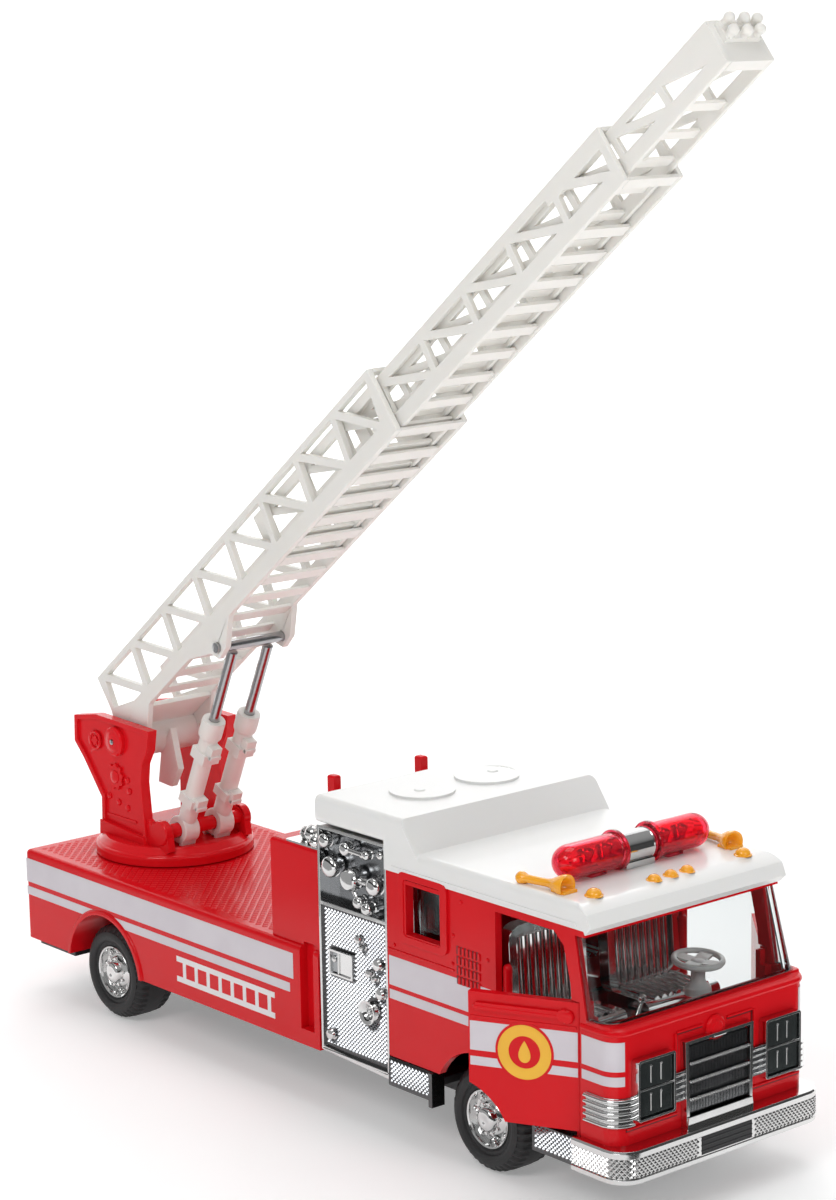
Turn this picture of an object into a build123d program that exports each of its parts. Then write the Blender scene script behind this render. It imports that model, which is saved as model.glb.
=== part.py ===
from build123d import *
import math
import os

# Toy fire engine with a raised, telescoping ladder. Millimetres, +X to the front of the truck, +Z up.
# Stations along X are counted from the rear axle and shifted by X_SHIFT and Y_SHIFT so that the origin is under the middle of the whole toy.
X_SHIFT = -69.32
Y_SHIFT = -2.22

TYRE_R, TYRE_IN, TYRE_OUT, HUB_R = 10.5, 13.5, 24.0, 6.9
AXLE_R, RUN = 1.2, 0.06            # axle radius, running clearance
WHEELBASE = 123.5
BODY_HW = 25.55                    # half width of the rear body
BED_X0, BED_X1, BED_Z0, DECK_Z = -30.5, 75.6, 12.3, 32.8
BLOCK_X0, BLOCK_Z, BLOCK_HW = 59.4, 53.5, 24.4
ARCH_R = 13.2
CAB_X0, CAB_X1, CAB_HW, CAB_TOP = 97.0, 160.5, 25.2, 54.4
SILL_Z = 37.4                      # bottom of the windshield
ROOF_Z, BOX_Z = 59.2, 65.3
DOOR_X0, DOOR_X1, DOOR_Z0, DOOR_Z1 = 128.9, 151.0, 16.1, 40.5
DOOR_AJAR = {-1: 27.0, 1: 42.0}     # the right and left doors stand ajar by these angles
HINGE_X, HINGE_Y = 150.1, 24.35
TT_X, TT_R = -8.1, 17.7            # turntable centre and radius
PIV_X, PIV_Z = -13.3, 58.3         # ladder pivot
FOOT_X, FOOT_Z = 2.4, 40.1         # axis of the foot rod
LADDER_DEG = 38.3
L1 = dict(n0=1.5, n1=16.0, hw=9.3, t=1.4, s0=0.0, s1=124.8)
L2 = dict(n0=2.4, n1=14.2, hw=7.4, t=1.15, s0=71.4, s1=204.4)
L3 = dict(n0=4.0, n1=12.9, hw=5.85, t=1.05, s0=110.0, s1=235.6)
BAR_S, BAR_N, BAR_R = 44.7, -1.7, 1.1   # steel crossbar in ladder stations
ROD_LEN = 49.03                    # foot rod axis to crossbar axis
ROD_DEG = 65.371
CYL_LEN = 29.4

os.makedirs("parts", exist_ok=True)


def bx(x0, x1, y0, y1, z0, z1):
    return Pos((x0 + x1) / 2, (y0 + y1) / 2, (z0 + z1) / 2) * Box(x1 - x0, y1 - y0, z1 - z0)


def cyl_y(x, z, r, y0, y1):
    return Pos(x, (y0 + y1) / 2, z) * Rot(90, 0, 0) * Cylinder(r, y1 - y0)


def cyl_x(y, z, r, x0, x1):
    return Pos((x0 + x1) / 2, y, z) * Rot(0, 90, 0) * Cylinder(r, x1 - x0)


def cyl_z(x, y, r, z0, z1):
    return Pos(x, y, (z0 + z1) / 2) * Cylinder(r, z1 - z0)


def prism(pts, y0, y1):
    # pts are (x, z), extruded from y0 to y1
    f = make_face(Polyline([(x, y0, z) for x, z in pts], close=True))
    return extrude(f, amount=y1 - y0, dir=(0, 1, 0))


def both(fn):
    return [fn(-1), fn(1)]


def yb(x0, x1, ya, yc, z0, z1, s):
    # box on side s from |y| = ya to |y| = yc
    lo, hi = sorted((s * ya, s * yc))
    return bx(x0, x1, lo, hi, z0, z1)


def cys(x, z, r, ya, yc, s):
    lo, hi = sorted((s * ya, s * yc))
    return cyl_y(x, z, r, lo, hi)


def save(name, shapes, loc=None):
    if not isinstance(shapes, (list, tuple)):
        shapes = [shapes]
    solids = []
    for s in shapes:
        solids += list(s.solids())
    move = Pos(X_SHIFT, Y_SHIFT, 0)
    solids = [move * (loc * s if loc is not None else s) for s in solids]
    export_step(Compound(children=solids) if len(solids) > 1 else solids[0], f"parts/{name}.step")


def vert(shape, x=None, sign=None):
    # vertical edges at the largest x
    return [e for e in shape.edges().filter_by(Axis.Z) if x is None or abs(e.center().X - x) < 0.2]


# ------------------------------------------------------------------ chassis
SCREWS = [(-22.0, 8.0), (-22.0, -8.0), (24.0, 0.0), (112.0, 8.4), (112.0, -8.4), (146.0, 0.0)]
chassis = bx(-29, 158, -11.3, 11.3, 7.0, 8.9)
chassis += [yb(-29, 158, 10.2, 11.3, 8.9, 12.2, s) for s in (-1, 1)]
chassis += [yb(-29, -15, 11.3, 23.4, 10.6, 12.2, s) for s in (-1, 1)]
chassis += [yb(16, 104, 11.3, 21.3, 10.6, 12.2, s) for s in (-1, 1)]
chassis += [yb(139, 157.6, 11.3, 23.0, 10.2, 14.2, s) for s in (-1, 1)]
for ax in (0.0, WHEELBASE):
    chassis += [yb(ax - 3, ax + 3, 7.6, 11.3, 8.9, 13.6, s) for s in (-1, 1)]
for ax in (0.0, WHEELBASE):
    chassis -= cyl_y(ax, TYRE_R, AXLE_R + RUN, -14, 14)
chassis -= bx(-4.7, 4.7, -2.2, 2.2, 6, 9.5)                       # slot for the drive gear
chassis -= bx(29.9, 67.1, -8.6, 8.6, 6, 9.5)                      # battery hatch
chassis -= bx(78.0, 86.0, -1.7, 1.7, 6, 9.5)                      # switch slot
for i in range(4):
    chassis -= bx(98.2 + i * 2.6, 99.5 + i * 2.6, -4.5, 4.5, 6, 9.5)  # sound slots
for x, y in SCREWS:
    chassis -= cyl_z(x, y, 1.15, 6, 10)
    chassis -= cyl_z(x, y, 2.1, 6, 7.9)
save("chassis_plate", chassis)

cover = bx(30.0, 67.0, -8.5, 8.5, 7.0, 8.5)
for i in range(6):
    cover -= bx(34 + i * 5.2, 35.2 + i * 5.2, -5, 5, 6.5, 7.4)
save("battery_cover", cover)

screws = []
for x, y in SCREWS:
    head = cyl_z(x, y, 1.9, 7.2, 7.9) - bx(x - 1.2, x + 1.2, y - 0.2, y + 0.2, 7.0, 7.5) - bx(x - 0.2, x + 0.2, y - 1.2, y + 1.2, 7.0, 7.5)
    screws.append(head + cyl_z(x, y, 0.95, 7.9, 15.5))
save("screws", screws)
save("button_cells", [cyl_z(36.8 + i * 11.8, 0, 5.75, 8.7, 14.0) for i in range(3)])
save("circuit_board", bx(68.6, 77.0, -9.2, 9.2, 9.3, 10.1) + bx(70, 73.5, -3, 3, 10.1, 11.3) + bx(74.5, 76, -7, 2, 10.1, 12.0))
save("speaker", cyl_z(103.0, 0, 8.4, 8.9, 10.4) + cyl_z(103.0, 0, 4.6, 10.4, 13.4))

motor = bx(-9, 9, -6.4, 6.4, 8.9, 20.0) - cyl_y(0, TYRE_R, AXLE_R + RUN, -8, 8)
motor -= cyl_y(0, TYRE_R, 4.2, -2.0, 2.0)
motor -= bx(-4.2, 4.2, -2.0, 2.0, 8.0, 10.5)
save("pullback_motor", motor)

knob = bx(79.6, 82.6, -1.35, 1.35, 5.9, 9.2) + bx(78.6, 83.6, -2.6, 2.6, 9.2, 10.2)
knob -= bx(80.7, 81.5, -1.35, 1.35, 5.9, 6.3)
save("power_switch", knob)

# ------------------------------------------------------------------ wheels
for name, ax in (("rear", 0.0), ("front", WHEELBASE)):
    axle = cyl_y(ax, TYRE_R, AXLE_R, -20.5, 20.5)
    save(f"{name}_axle", axle)
    tyres, hubs = [], []
    for s in (-1, 1):
        t = cys(ax, TYRE_R, TYRE_R, TYRE_IN, TYRE_OUT, s)
        t = fillet([e for e in t.edges().filter_by(GeomType.CIRCLE)], 1.3)
        t -= cys(ax, TYRE_R, HUB_R, TYRE_IN - 1, TYRE_OUT + 1, s)
        tyres.append(t)
        h = cys(ax, TYRE_R, HUB_R, 14.2, 23.4, s) - cys(ax, TYRE_R, 5.6, 21.6, 24.0, s)
        h += cys(ax, TYRE_R, 2.5, 21.6, 24.3, s)
        h += cys(ax, TYRE_R, 5.0, 21.6, 22.6, s)
        h -= cys(ax, TYRE_R, 5.9, 13.0, 19.0, s)
        h += cys(ax, TYRE_R, 2.3, 14.2, 19.0, s)
        h -= cyl_y(ax, TYRE_R, AXLE_R, -20.5, 20.5)
        hubs.append(h)
    save(f"{name}_tyres", tyres)
    save(f"{name}_hubs", hubs)
gear = cyl_y(0, TYRE_R, 3.0, -1.5, 1.5)
for i in range(12):
    gear += Pos(0, 0, TYRE_R) * Rot(0, i * 30, 0) * Pos(3.0, 0, 0) * Box(1.2, 3.0, 0.8)
gear -= cyl_y(0, TYRE_R, AXLE_R, -3, 3)
save("drive_gear", gear)

# ------------------------------------------------------------------ rear body
rear = bx(BED_X0, BED_X1, -BODY_HW, BODY_HW, BED_Z0, DECK_Z)
rear = fillet([e for e in rear.edges() if (abs(e.center().Z - DECK_Z) < 0.01 and abs(e.center().X - BED_X1) > 1) or (e.center().X < BED_X0 + 0.1 and abs(e.center().Y) > 20 and abs(e.center().Z - 22.5) < 1)], 1.0)
blk = bx(BLOCK_X0, BED_X1, -BLOCK_HW, BLOCK_HW, DECK_Z - 3, BLOCK_Z)
blk = fillet([e for e in blk.edges() if abs(e.center().Z - BLOCK_Z) < 0.01 and abs(e.center().X - BED_X1) > 1], 0.9)
rear += blk
cav = bx(BED_X0 + 2, BED_X1 - 2, -23.4, 23.4, BED_Z0 - 1, DECK_Z - 2.2) + bx(BLOCK_X0 + 1.8, BED_X1 - 1.8, -22.4, 22.4, DECK_Z - 5, BLOCK_Z - 1.8)
rear -= cav
for s in (-1, 1):
    rear += cys(0, TYRE_R, ARCH_R + 1.5, 11.5, 24, s) & bx(-20, 20, -26, 26, BED_Z0, 30)
    rear += (cys(0, TYRE_R, ARCH_R + 0.9, 25.0, 26.0, s)) & bx(-20, 20, -27, 27, BED_Z0, 30)
    rear -= cys(0, TYRE_R, ARCH_R, 12.9, 27, s)
    rear -= yb(69.6, 73.9, 23.6, 27, 15.6, 33.6, s)
    rear += yb(69.0, 74.4, 21.6, 23.6, 14.2, 35.0, s)
rear -= cyl_z(TT_X, 0, 6.0 + RUN, 25, 40)
for x, y in SCREWS:
    if x < BED_X1 and abs(x - 24) > 1:
        rear += cyl_z(x, y, 2.4, BED_Z0, DECK_Z - 2)
        rear -= cyl_z(x, y, 1.0, 10, 17)
    elif abs(x - 24) < 1:
        rear += cyl_z(x, y, 2.4, BED_Z0, DECK_Z - 2)
        rear -= cyl_z(x, y, 1.0, 10, 17)
save("rear_body", rear)

# ------------------------------------------------------------------ cab shell
WS_B, WS_T = 158.7, 152.5      # windshield line at SILL_Z and at its top
outer = prism([(CAB_X0, 16.9), (136, 16.9), (136, 15.0), (CAB_X1, 15.0), (CAB_X1, 36.6), (WS_B, SILL_Z), (WS_T, CAB_TOP - 0.6), (152.3, CAB_TOP), (CAB_X0, CAB_TOP)], -CAB_HW, CAB_HW)
outer = fillet([e for e in outer.edges().filter_by(Axis.Z) if abs(e.center().X - CAB_X1) < 0.2], 3.6)
inner = prism([(CAB_X0 + 1.6, 10), (CAB_X1 - 1.7, 10), (CAB_X1 - 1.7, 36.2), (WS_B - 1.7, SILL_Z), (WS_T - 1.7, CAB_TOP - 0.6), (150, 60), (CAB_X0 + 1.6, 60)], -CAB_HW + 1.6, CAB_HW - 1.6)
inner = fillet([e for e in inner.edges().filter_by(Axis.Z) if abs(e.center().X - CAB_X1 + 1.7) < 0.2], 2.4)
shell = outer - inner
shell -= cyl_y(WHEELBASE, TYRE_R, ARCH_R, -30, 30)
shell -= prism([(153.0, SILL_Z + 0.4), (162, SILL_Z + 0.4), (162, 53.2), (150.1, 53.2)], -30, 30)      # windshield, wrapping the corners
shell -= bx(DOOR_X0 - 0.3, DOOR_X1 + 0.3, -30, 30, 10, DOOR_Z1 + 0.3)                                     # front doors
shell -= prism([(DOOR_X0 - 0.3, 40), (149.2, 40), (148.9, 44), (147.2, 50.6), (144.6, 52.9), (DOOR_X0 - 0.3, 52.9)], -30, 30)
for s in (-1, 1):
    shell -= yb(103.2, 113.2, 20, 30, 42.8, 52.8, s)
    shell += yb(102.2, 114.2, CAB_HW - 0.2, CAB_HW + 0.35, 41.8, 53.6, s) - yb(103.2, 113.2, 20, 30, 42.8, 52.8, s)
    shell += yb(150.2, 151.4, 21.8, 23.15, 16.0, 40.4, s) + yb(151.3, 152.6, 21.8, 23.8, 16.0, 37.6, s)   # door post behind the hinge
    shell -= cyl_z(HINGE_X, s * HINGE_Y, 0.45 + 0.06, 39, 42.2)
shell += [cyl_z(x, y, 2.4, 12.3, 22.5) for x, y in SCREWS if x > 100]
shell += [bx(98.0, 114, -9.5, 9.5, 21.0, 22.5), bx(143.5, 159.2, -3.5, 3.5, 21.0, 22.5)]
shell -= [cyl_z(x, y, 1.0, 10, 17) for x, y in SCREWS if x > 100]
save("cab_shell", shell)

# ------------------------------------------------------------------ roof
roof = prism([(75.7, 59.7), (96.8, 59.7), (96.8, 54.5), (152.7, 54.5), (153.1, 53.8), (154.5, 55.2), (153.5, 57.6), (150.4, ROOF_Z), (106.2, ROOF_Z), (101.8, BOX_Z), (75.7, BOX_Z)], -25.5, 25.5)
roof = fillet([e for e in roof.edges().filter_by(Axis.X) if e.center().Z > 58], 1.4)
roof -= bx(99.5, 149.5, -22.6, 22.6, 50, 57.0)
roof -= bx(78.2, 100.5, -22.4, 22.4, 50, 63.2)
roof += [cyl_z(88.5, -8.5, 6.6, BOX_Z - 0.2, BOX_Z + 0.5), cyl_z(88.5, 8.5, 6.6, BOX_Z - 0.2, BOX_Z + 0.5)]
save("cab_roof", roof)

# ------------------------------------------------------------------ glazing
ws = prism([(153.1, SILL_Z + 0.5), (158.6, SILL_Z + 0.5), (152.8, 53.1), (150.2, 53.1)], -24.9, 24.9)
ws = fillet([e for e in ws.edges() if abs(abs(e.center().Y) - 24.9) < 0.01 and abs(e.center().X - 155.7) < 0.5 and 44 < e.center().Z < 47], 2.2)
ws -= prism([(140.0, SILL_Z - 4), (159.0, SILL_Z - 4), (150.6, 56.0), (140.0, 56.0)], -23.8, 23.8)
save("windshield", ws)
save("crew_windows", both(lambda s: yb(102.2, 114.2, 22.7, 23.55, 41.8, 53.6, s)))

# ------------------------------------------------------------------ interior
inter = bx(98.8, 157.0, -21.6, 21.6, 23.0, 24.4)
inter += [yb(130.0, 142.5, 2.6, 20.6, 24.4, 32.0, s) for s in (-1, 1)]
inter += [prism([(129.6, 32), (132.4, 32), (131.0, 50.0), (128.8, 50.0)], min(s * 2.6, s * 20.6), max(s * 2.6, s * 20.6)) for s in (-1, 1)]
inter += [yb(100.0, 109.0, 2.6, 20.6, 24.4, 31.5, s) for s in (-1, 1)]
inter += [yb(99.2, 101.4, 2.6, 20.6, 31.5, 50.0, s) for s in (-1, 1)]
inter += bx(151.6, 156.6, -21.2, 21.2, 24.4, 36.0)
inter += bx(133.0, 150.0, -2.0, 2.0, 24.4, 29.5)
inter -= [cyl_z(x, y, 1.0, 10, 17) for x, y in SCREWS]
save("interior", inter)

SW = Pos(147.0, 9.5, 40.3) * Rot(0, 13, 0)
wheel = SW * (Torus(4.6, 0.6) + Cylinder(1.4, 1.2) + Box(9.0, 1.6, 0.9) + Box(1.6, 9.0, 0.9))
wheel += cyl_z(147.0, 9.5, 1.4, 34.2, 40.2) + bx(145.4, 151.5, 8.3, 10.7, 34.0, 35.8)
save("steering_wheel", wheel)

# ------------------------------------------------------------------ front end
grille = bx(CAB_X1 + 0.05, 161.9, -8.6, 8.6, 15.6, 32.1) - bx(161.3, 162.5, -7.4, 7.4, 16.6, 31.0)
grille += [bx(161.2, 161.8, -7.5, 7.5, z, z + 0.9) for z in (19.9, 23.8, 27.7)]
save("grille", grille)

bez = []
for s in (-1, 1):
    b = yb(CAB_X1 + 0.05, 162.6, 11.9, 21.2, 20.0, 31.4, s)
    b -= yb(161.7, 163, 12.7, 20.4, 26.2, 30.6, s)
    b -= yb(161.7, 163, 12.7, 20.4, 20.8, 25.2, s)
    b += yb(CAB_X1 + 0.05, 161.5, 8.75, 12.0, 20.9, 26.4, s)
    rib = bx(152.6, 161.6, -26.1, 26.1, 18.6, 24.6)
    rib = fillet([e for e in rib.edges().filter_by(Axis.Z) if e.center().X > 161], 4.2)
    core = bx(140, CAB_X1 + 0.03, -CAB_HW - 0.03, CAB_HW + 0.03, 10, 30)
    core = fillet([e for e in core.edges().filter_by(Axis.Z) if e.center().X > 160], 3.6)
    rib = (rib - core) & yb(150, 165, 21.0, 27, 10, 30, s)
    bez.append(b + rib)
save("headlight_bezels", bez)
lens = []
for s in (-1, 1):
    for z0 in (20.9, 26.3):
        for y0 in (12.8, 16.65):
            lens.append(yb(161.7, 162.45, y0, y0 + 3.65, z0, z0 + 4.2, s))
save("headlight_lenses", lens)

bump = bx(146.0, 164.1, -26.9, 26.9, 9.2, 15.5)
bump = fillet([e for e in bump.edges().filter_by(Axis.Z) if e.center().X > 164], 5.0)
bump -= bx(140, 162.2, -24.6, 24.6, 8.0, 14.6)
bump -= bx(140, CAB_X1 + 0.3, -25.5, 25.5, 14.6, 17.0)
bump -= bx(140, 151.9, -30, 30, 15.05, 17.0)
bump += [yb(138.8, 146.2, 24.6, 26.2, 9.6, 15.0, s) for s in (-1, 1)]
bump += [yb(147.0, 151.0, 22.9, 24.7, 10.5, 15.0, s) for s in (-1, 1)]
bump -= [yb(138, 158, 22.8, 23.1, 9, 15.2, s) for s in (-1, 1)]
bump -= [cyl_z(HINGE_X, s * HINGE_Y, 0.45 + 0.06, 13.0, 15.5) for s in (-1, 1)]
bump -= bx(161.0, 165, -6.3, 6.3, 10.6, 14.0)
save("front_bumper", bump)
save("bumper_insert", bx(162.25, 163.3, -6.2, 6.2, 10.7, 13.9))
save("running_boards", both(lambda s: yb(75.7, 110.2, 21.5, 25.9, 11.0, 16.7, s) - yb(74, 112, 21.0, 24.6, 10, 15.6, s)))

# ------------------------------------------------------------------ pump section
house = bx(75.8, 96.8, -22.3, 22.3, 12.4, 59.4) - bx(77.4, 95.2, -20.7, 20.7, 12.0, 58.0)
house -= [yb(75, 97, 21.3, 23, 12, 16.9, s) for s in (-1, 1)]
save("pump_housing", house)
for name, s in (("right", -1), ("left", 1)):
    p = yb(75.9, 96.7, 22.5, 25.3, 16.9, 59.3, s)
    p -= yb(77.0, 95.8, 23.4, 26, 42.8, 58.2, s)
    p += yb(80.0, 86.0, 25.2, 25.9, 32.2, 37.0, s)
    save(f"pump_panel_{name}", p)
fit = []
for s in (-1, 1):
    fit += [cys(80.2, 54.6, 1.5, 23.4, 26.0, s), cys(80.8, 48.6, 1.6, 23.4, 26.2, s)]
    fit += [cys(89.5, 49.6, 2.0, 23.4, 26.4, s), cys(86.0, 44.8, 1.3, 23.4, 26.0, s)]
    fit += [cys(91.0, 27.0, 3.1, 25.3, 27.2, s), cys(92.2, 35.0, 1.0, 25.3, 26.6, s), cys(88.4, 33.6, 0.9, 25.3, 26.4, s)]
    fit += [cys(84.0, 23.0, 1.1, 25.3, 26.5, s), cys(93.0, 21.0, 1.0, 25.3, 26.4, s)]
save("pump_fittings", fit)
tops = []
for s in (-1, 1):
    for x, y, r in ((67.5, 21.0, 1.7), (71.0, 22.2, 1.9), (73.0, 18.6, 1.6)):
        tops.append(cyl_z(x, s * y, r * 0.6, BLOCK_Z, BLOCK_Z + 1.2) + Pos(x, s * y, BLOCK_Z + 2.0) * Sphere(r))
save("top_fittings", tops)
save("ladder_posts", both(lambda s: fillet(bx(63.4, 65.6, s * 11.6 - 0.9, s * 11.6 + 0.9, BLOCK_Z, 64.9).edges().group_by(Axis.Z)[-1], 0.5)))

# ------------------------------------------------------------------ light bar and roof lamps
LBX, LBZ, LBR = 139.0, 62.75, 3.35
for name, s in (("right", -1), ("left", 1)):
    c = cys(LBX, LBZ, LBR, 4.0, 16.0, s) + Pos(LBX, s * 16.0, LBZ) * Sphere(LBR)
    c += cys(LBX, LBZ, LBR + 0.55, 4.0, 5.0, s)
    c = c & bx(130, 150, -30, 30, ROOF_Z + 0.05, 70)
    c -= cys(LBX, LBZ, LBR - 0.8, 4.8, 15.6, s) + Pos(LBX, s * 15.6, LBZ) * Sphere(LBR - 0.8)
    save(f"lightbar_lens_{name}", c)
save("lightbar_centre", cyl_y(LBX, LBZ, LBR - 0.15, -3.95, 3.95) & bx(130, 150, -30, 30, ROOF_Z + 0.05, 70))
save("lightbar_lamps", both(lambda s: yb(LBX - 1.5, LBX + 1.5, 5.2, 15.0, 61.6, 62.2, s) + [cyl_z(LBX, s * y, 0.85, 62.2, 63.9) for y in (7.5, 12.2)]))
horns, lamps = [], []
for s in (-1, 1):
    h = cyl_x(s * 22.4, 60.0, 0.85, 133.6, 141.5) + Pos(142.6, s * 22.4, 60.0) * Rot(0, 90, 0) * Cone(0.85, 2.0, 3.2)
    h += Pos(133.8, s * 22.4, 60.0) * Sphere(1.2)
    horns.append(h & bx(120, 150, -30, 30, ROOF_Z + 0.02, 64))
    lamps.append((Pos(149.0, s * 19.3, ROOF_Z) * Sphere(1.35)) & bx(145, 155, -30, 30, ROOF_Z + 0.02, 64))
for y in (-4.3, 0.0, 4.3):
    lamps.append((Pos(149.0, y, ROOF_Z) * Sphere(1.3)) & bx(145, 155, -30, 30, ROOF_Z + 0.02, 64))
save("air_horns", horns)
save("marker_lights", lamps)

# ------------------------------------------------------------------ doors, drawn closed and then swung ajar
for name, s in (("right", -1), ("left", 1)):
    d = yb(DOOR_X0, HINGE_X, 23.5, 25.2, DOOR_Z0, DOOR_Z1, s)
    d += cyl_z(HINGE_X, s * HINGE_Y, 0.85, DOOR_Z0, DOOR_Z1)
    d -= cys(WHEELBASE, TYRE_R, ARCH_R + 0.4, 20, 30, s)
    d += cys(147.6, 38.0, 1.15, 25.0, 26.0, s) + yb(130.5, 147.6, 25.0, 25.9, 37.3, 38.7, s)
    d += cyl_z(HINGE_X, s * HINGE_Y, 0.45, 13.6, 42.0)
    turn = Pos(HINGE_X, s * HINGE_Y, 0) * Rot(0, 0, -s * DOOR_AJAR[s]) * Pos(-HINGE_X, -s * HINGE_Y, 0)
    save(f"door_{name}", d, turn)

# ------------------------------------------------------------------ turntable
disc = cyl_z(TT_X, 0, TT_R, DECK_Z + 0.3, 35.6)
disc = fillet([e for e in disc.edges().filter_by(GeomType.CIRCLE) if e.center().Z > 35], 1.0)
disc += cyl_z(TT_X, 0, 15.8, 35.0, 36.6)
disc += cyl_z(TT_X, 0, 6.0, 29.0, 34.0)
disc -= cyl_z(TT_X, 0, 1.1, 28.0, 33.0)
YO = 11.4
disc += bx(-18.5, -2.5, -YO + 1.7, YO - 1.7, 36.0, 38.4)
yoke = []
for s in (-1, 1):
    y0, y1 = sorted((s * (YO - 1.7), s * YO))
    plate = prism([(-28.9, 61.9), (-20.4, 63.4), (0.0, 62.8), (-0.85, 58.2), (-2.9, 54.8), (-3.5, 50.5), (-2.9, 44.6), (-1.9, 35.6), (-19.3, 35.6), (-19.0, 44.6), (-25.7, 52.6), (-29.1, 55.9)], y0, y1)
    lobe = prism([(-3.0, 35.6), (4.0, 35.6), (5.6, 36.4), (5.0, 40.2), (3.6, 42.2), (1.2, 42.7), (-0.8, 41.4), (-3.2, 42.5)], y0, y1)
    plate += lobe + cys(PIV_X, PIV_Z, 3.3, YO - 0.2, YO + 0.9, s)
    plate += cys(-21.8, 57.2, 2.2, YO - 0.2, YO + 0.35, s) + cys(-14.1, 50.1, 2.3, YO - 0.2, YO + 0.35, s)
    plate -= cys(PIV_X, PIV_Z, 1.25, 5, 15, s)
    plate -= cys(FOOT_X, FOOT_Z, 1.6, 5, 10.9, s)
    yoke.append(plate)
    disc -= prism([(-3.6, 35.6), (7.0, 35.6), (7.0, 37.5), (-3.6, 37.5)], y0, y1) + prism([(-19.4, 35.6), (-1.0, 35.6), (-1.0, 37.5), (-19.4, 37.5)], y0, y1)
save("turntable_disc", disc)
save("turntable_yoke", yoke)
clip = cyl_z(TT_X, 0, 7.6, 28.2, 29.0) + cyl_z(TT_X, 0, 1.1, 28.9, 32.0) + cyl_z(TT_X, 0, 7.6, 29.0, 30.2) - (cyl_z(TT_X, 0, 6.0, 29.0, 31.0) - cyl_z(TT_X, 0, 1.1, 28.0, 33.0))
save("turntable_clip", clip)
save("foot_rod", cyl_y(FOOT_X, FOOT_Z, 1.6, -10.9, 10.9))
pin = cyl_y(PIV_X, PIV_Z, 1.25, -12.1, 12.1) + [cys(PIV_X, PIV_Z, 1.7, 12.1, 12.5, s) for s in (-1, 1)]
save("pivot_pin", pin)

# ------------------------------------------------------------------ ladder, drawn along +X and then raised
LAD = Pos(PIV_X, 0, PIV_Z) * Rot(0, -LADDER_DEG, 0)


def inset(tri, d):
    (ax_, ay), (bx_, by), (cx, cy) = tri
    a = math.dist(tri[1], tri[2])
    b = math.dist(tri[0], tri[2])
    c = math.dist(tri[0], tri[1])
    per = a + b + c
    ix, iy = (a * ax_ + b * bx_ + c * cx) / per, (a * ay + b * by + c * cy) / per
    area = abs((bx_ - ax_) * (cy - ay) - (cx - ax_) * (by - ay)) / 2
    r = 2 * area / per
    k = (r - d) / r
    return [(ix + (x - ix) * k, iy + (y - iy) * k) for x, y in tri] if k > 0.12 else None


def side(L, nodes, lean, rail_b, rail_t, bar, y0, y1, skip_last_top=False, s0=None):
    # a side wall: bottom rail, top rail, near-upright struts at the nodes and a diagonal in each bay
    s0 = L["s0"] if s0 is None else s0
    wall = prism([(s0, L["n0"]), (L["s1"], L["n0"]), (L["s1"], L["n1"]), (s0, L["n1"])], y0, y1)
    nb, nt = L["n0"] + rail_b - bar / 2, L["n1"] - rail_t + bar / 2
    for i, (a, b) in enumerate(zip(nodes[:-1], nodes[1:])):
        ta, tb, ba, bb = (a, nt), (b, nt), (a - lean, nb), (b - lean, nb)
        last = i == len(nodes) - 2
        for k, tri in enumerate(((ta, ba, bb), (ta, bb, tb))):
            if k == 1 and last and skip_last_top:
                continue
            w = inset(tri, bar / 2)
            if w:
                wall -= prism(w, y0 - 1, y1 + 1)
    return wall


def section(L, nodes, lean, rail_b, rail_t, bar, rungs, rung_w, rung_t, skip=False, s0=None, frame=2.6, top_bar=True, lift=0.0):
    # two side walls, and the steps and end frame that stand between them
    walls = []
    for s in (-1, 1):
        y0, y1 = sorted((s * L["hw"], s * (L["hw"] - L["t"])))
        walls.append(side(L, nodes, lean, rail_b, rail_t, bar, y0, y1, skip, s0))
    hi = L["hw"] - L["t"]
    steps = [Pos(r, 0, L["n0"] + lift + rung_t / 2) * Box(rung_w, 2 * hi, rung_t) for r in rungs]
    end = bx(L["s1"] - frame, L["s1"], -hi, hi, L["n0"], L["n0"] + rung_t)
    top = bx(L["s1"] - 1.6, L["s1"], -hi, hi, L["n1"] - 0.9, L["n1"]) if top_bar else None
    return walls, steps, end, top


n1 = [1.9, 17.2, 32.5, 47.7, 62.9, 78.2, 93.8, 109.6, 123.9]
walls, steps, end, top = section(L1, n1, 1.9, 3.4, 1.5, 1.7, [11.6 + 7.85 * i for i in range(1, 14)], 3.2, 0.6, s0=0.0)
W1 = L1["hw"] - L1["t"]
for i, s in enumerate((-1, 1)):
    lo, hi = sorted((s * W1, s * L1["hw"]))
    w = walls[i] + cyl_y(0, 0, 4.4, lo, hi)
    w += prism([(-1.5, 0.0), (9.0, -3.0), (14.0, 1.6), (14.0, 3.4), (0.0, 8.0)], lo, hi)
    w += prism([(33.5, 1.6), (33.5, 3.0), (52.8, 3.0), (52.8, 1.6), (47.2, -3.3), (43.4, -3.9), (41.6, -1.5)], lo, hi)
    w -= cyl_y(0, 0, 1.25 + RUN, -12, 12)
    w -= cyl_y(BAR_S, BAR_N, BAR_R, -12, 12)
    walls[i] = w
save("ladder_base_sides", walls, LAD)
save("ladder_base_steps", steps + [end, top], LAD)
root = cyl_y(0, 0, 4.4, -W1, W1) + bx(-1.0, 13.4, -W1, W1, 1.0, 2.1)
root += prism([(-0.5, -3.9), (6.0, -1.8), (2.4, -10.6), (-2.6, -12.4), (-6.4, -9.0)], -0.8, 0.8)
root -= cyl_y(0, 0, 1.25 + RUN, -12, 12)
save("ladder_base_root", root, LAD)
save("ladder_crossbar", cyl_y(BAR_S, BAR_N, BAR_R, -9.9, 9.9), LAD)

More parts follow.
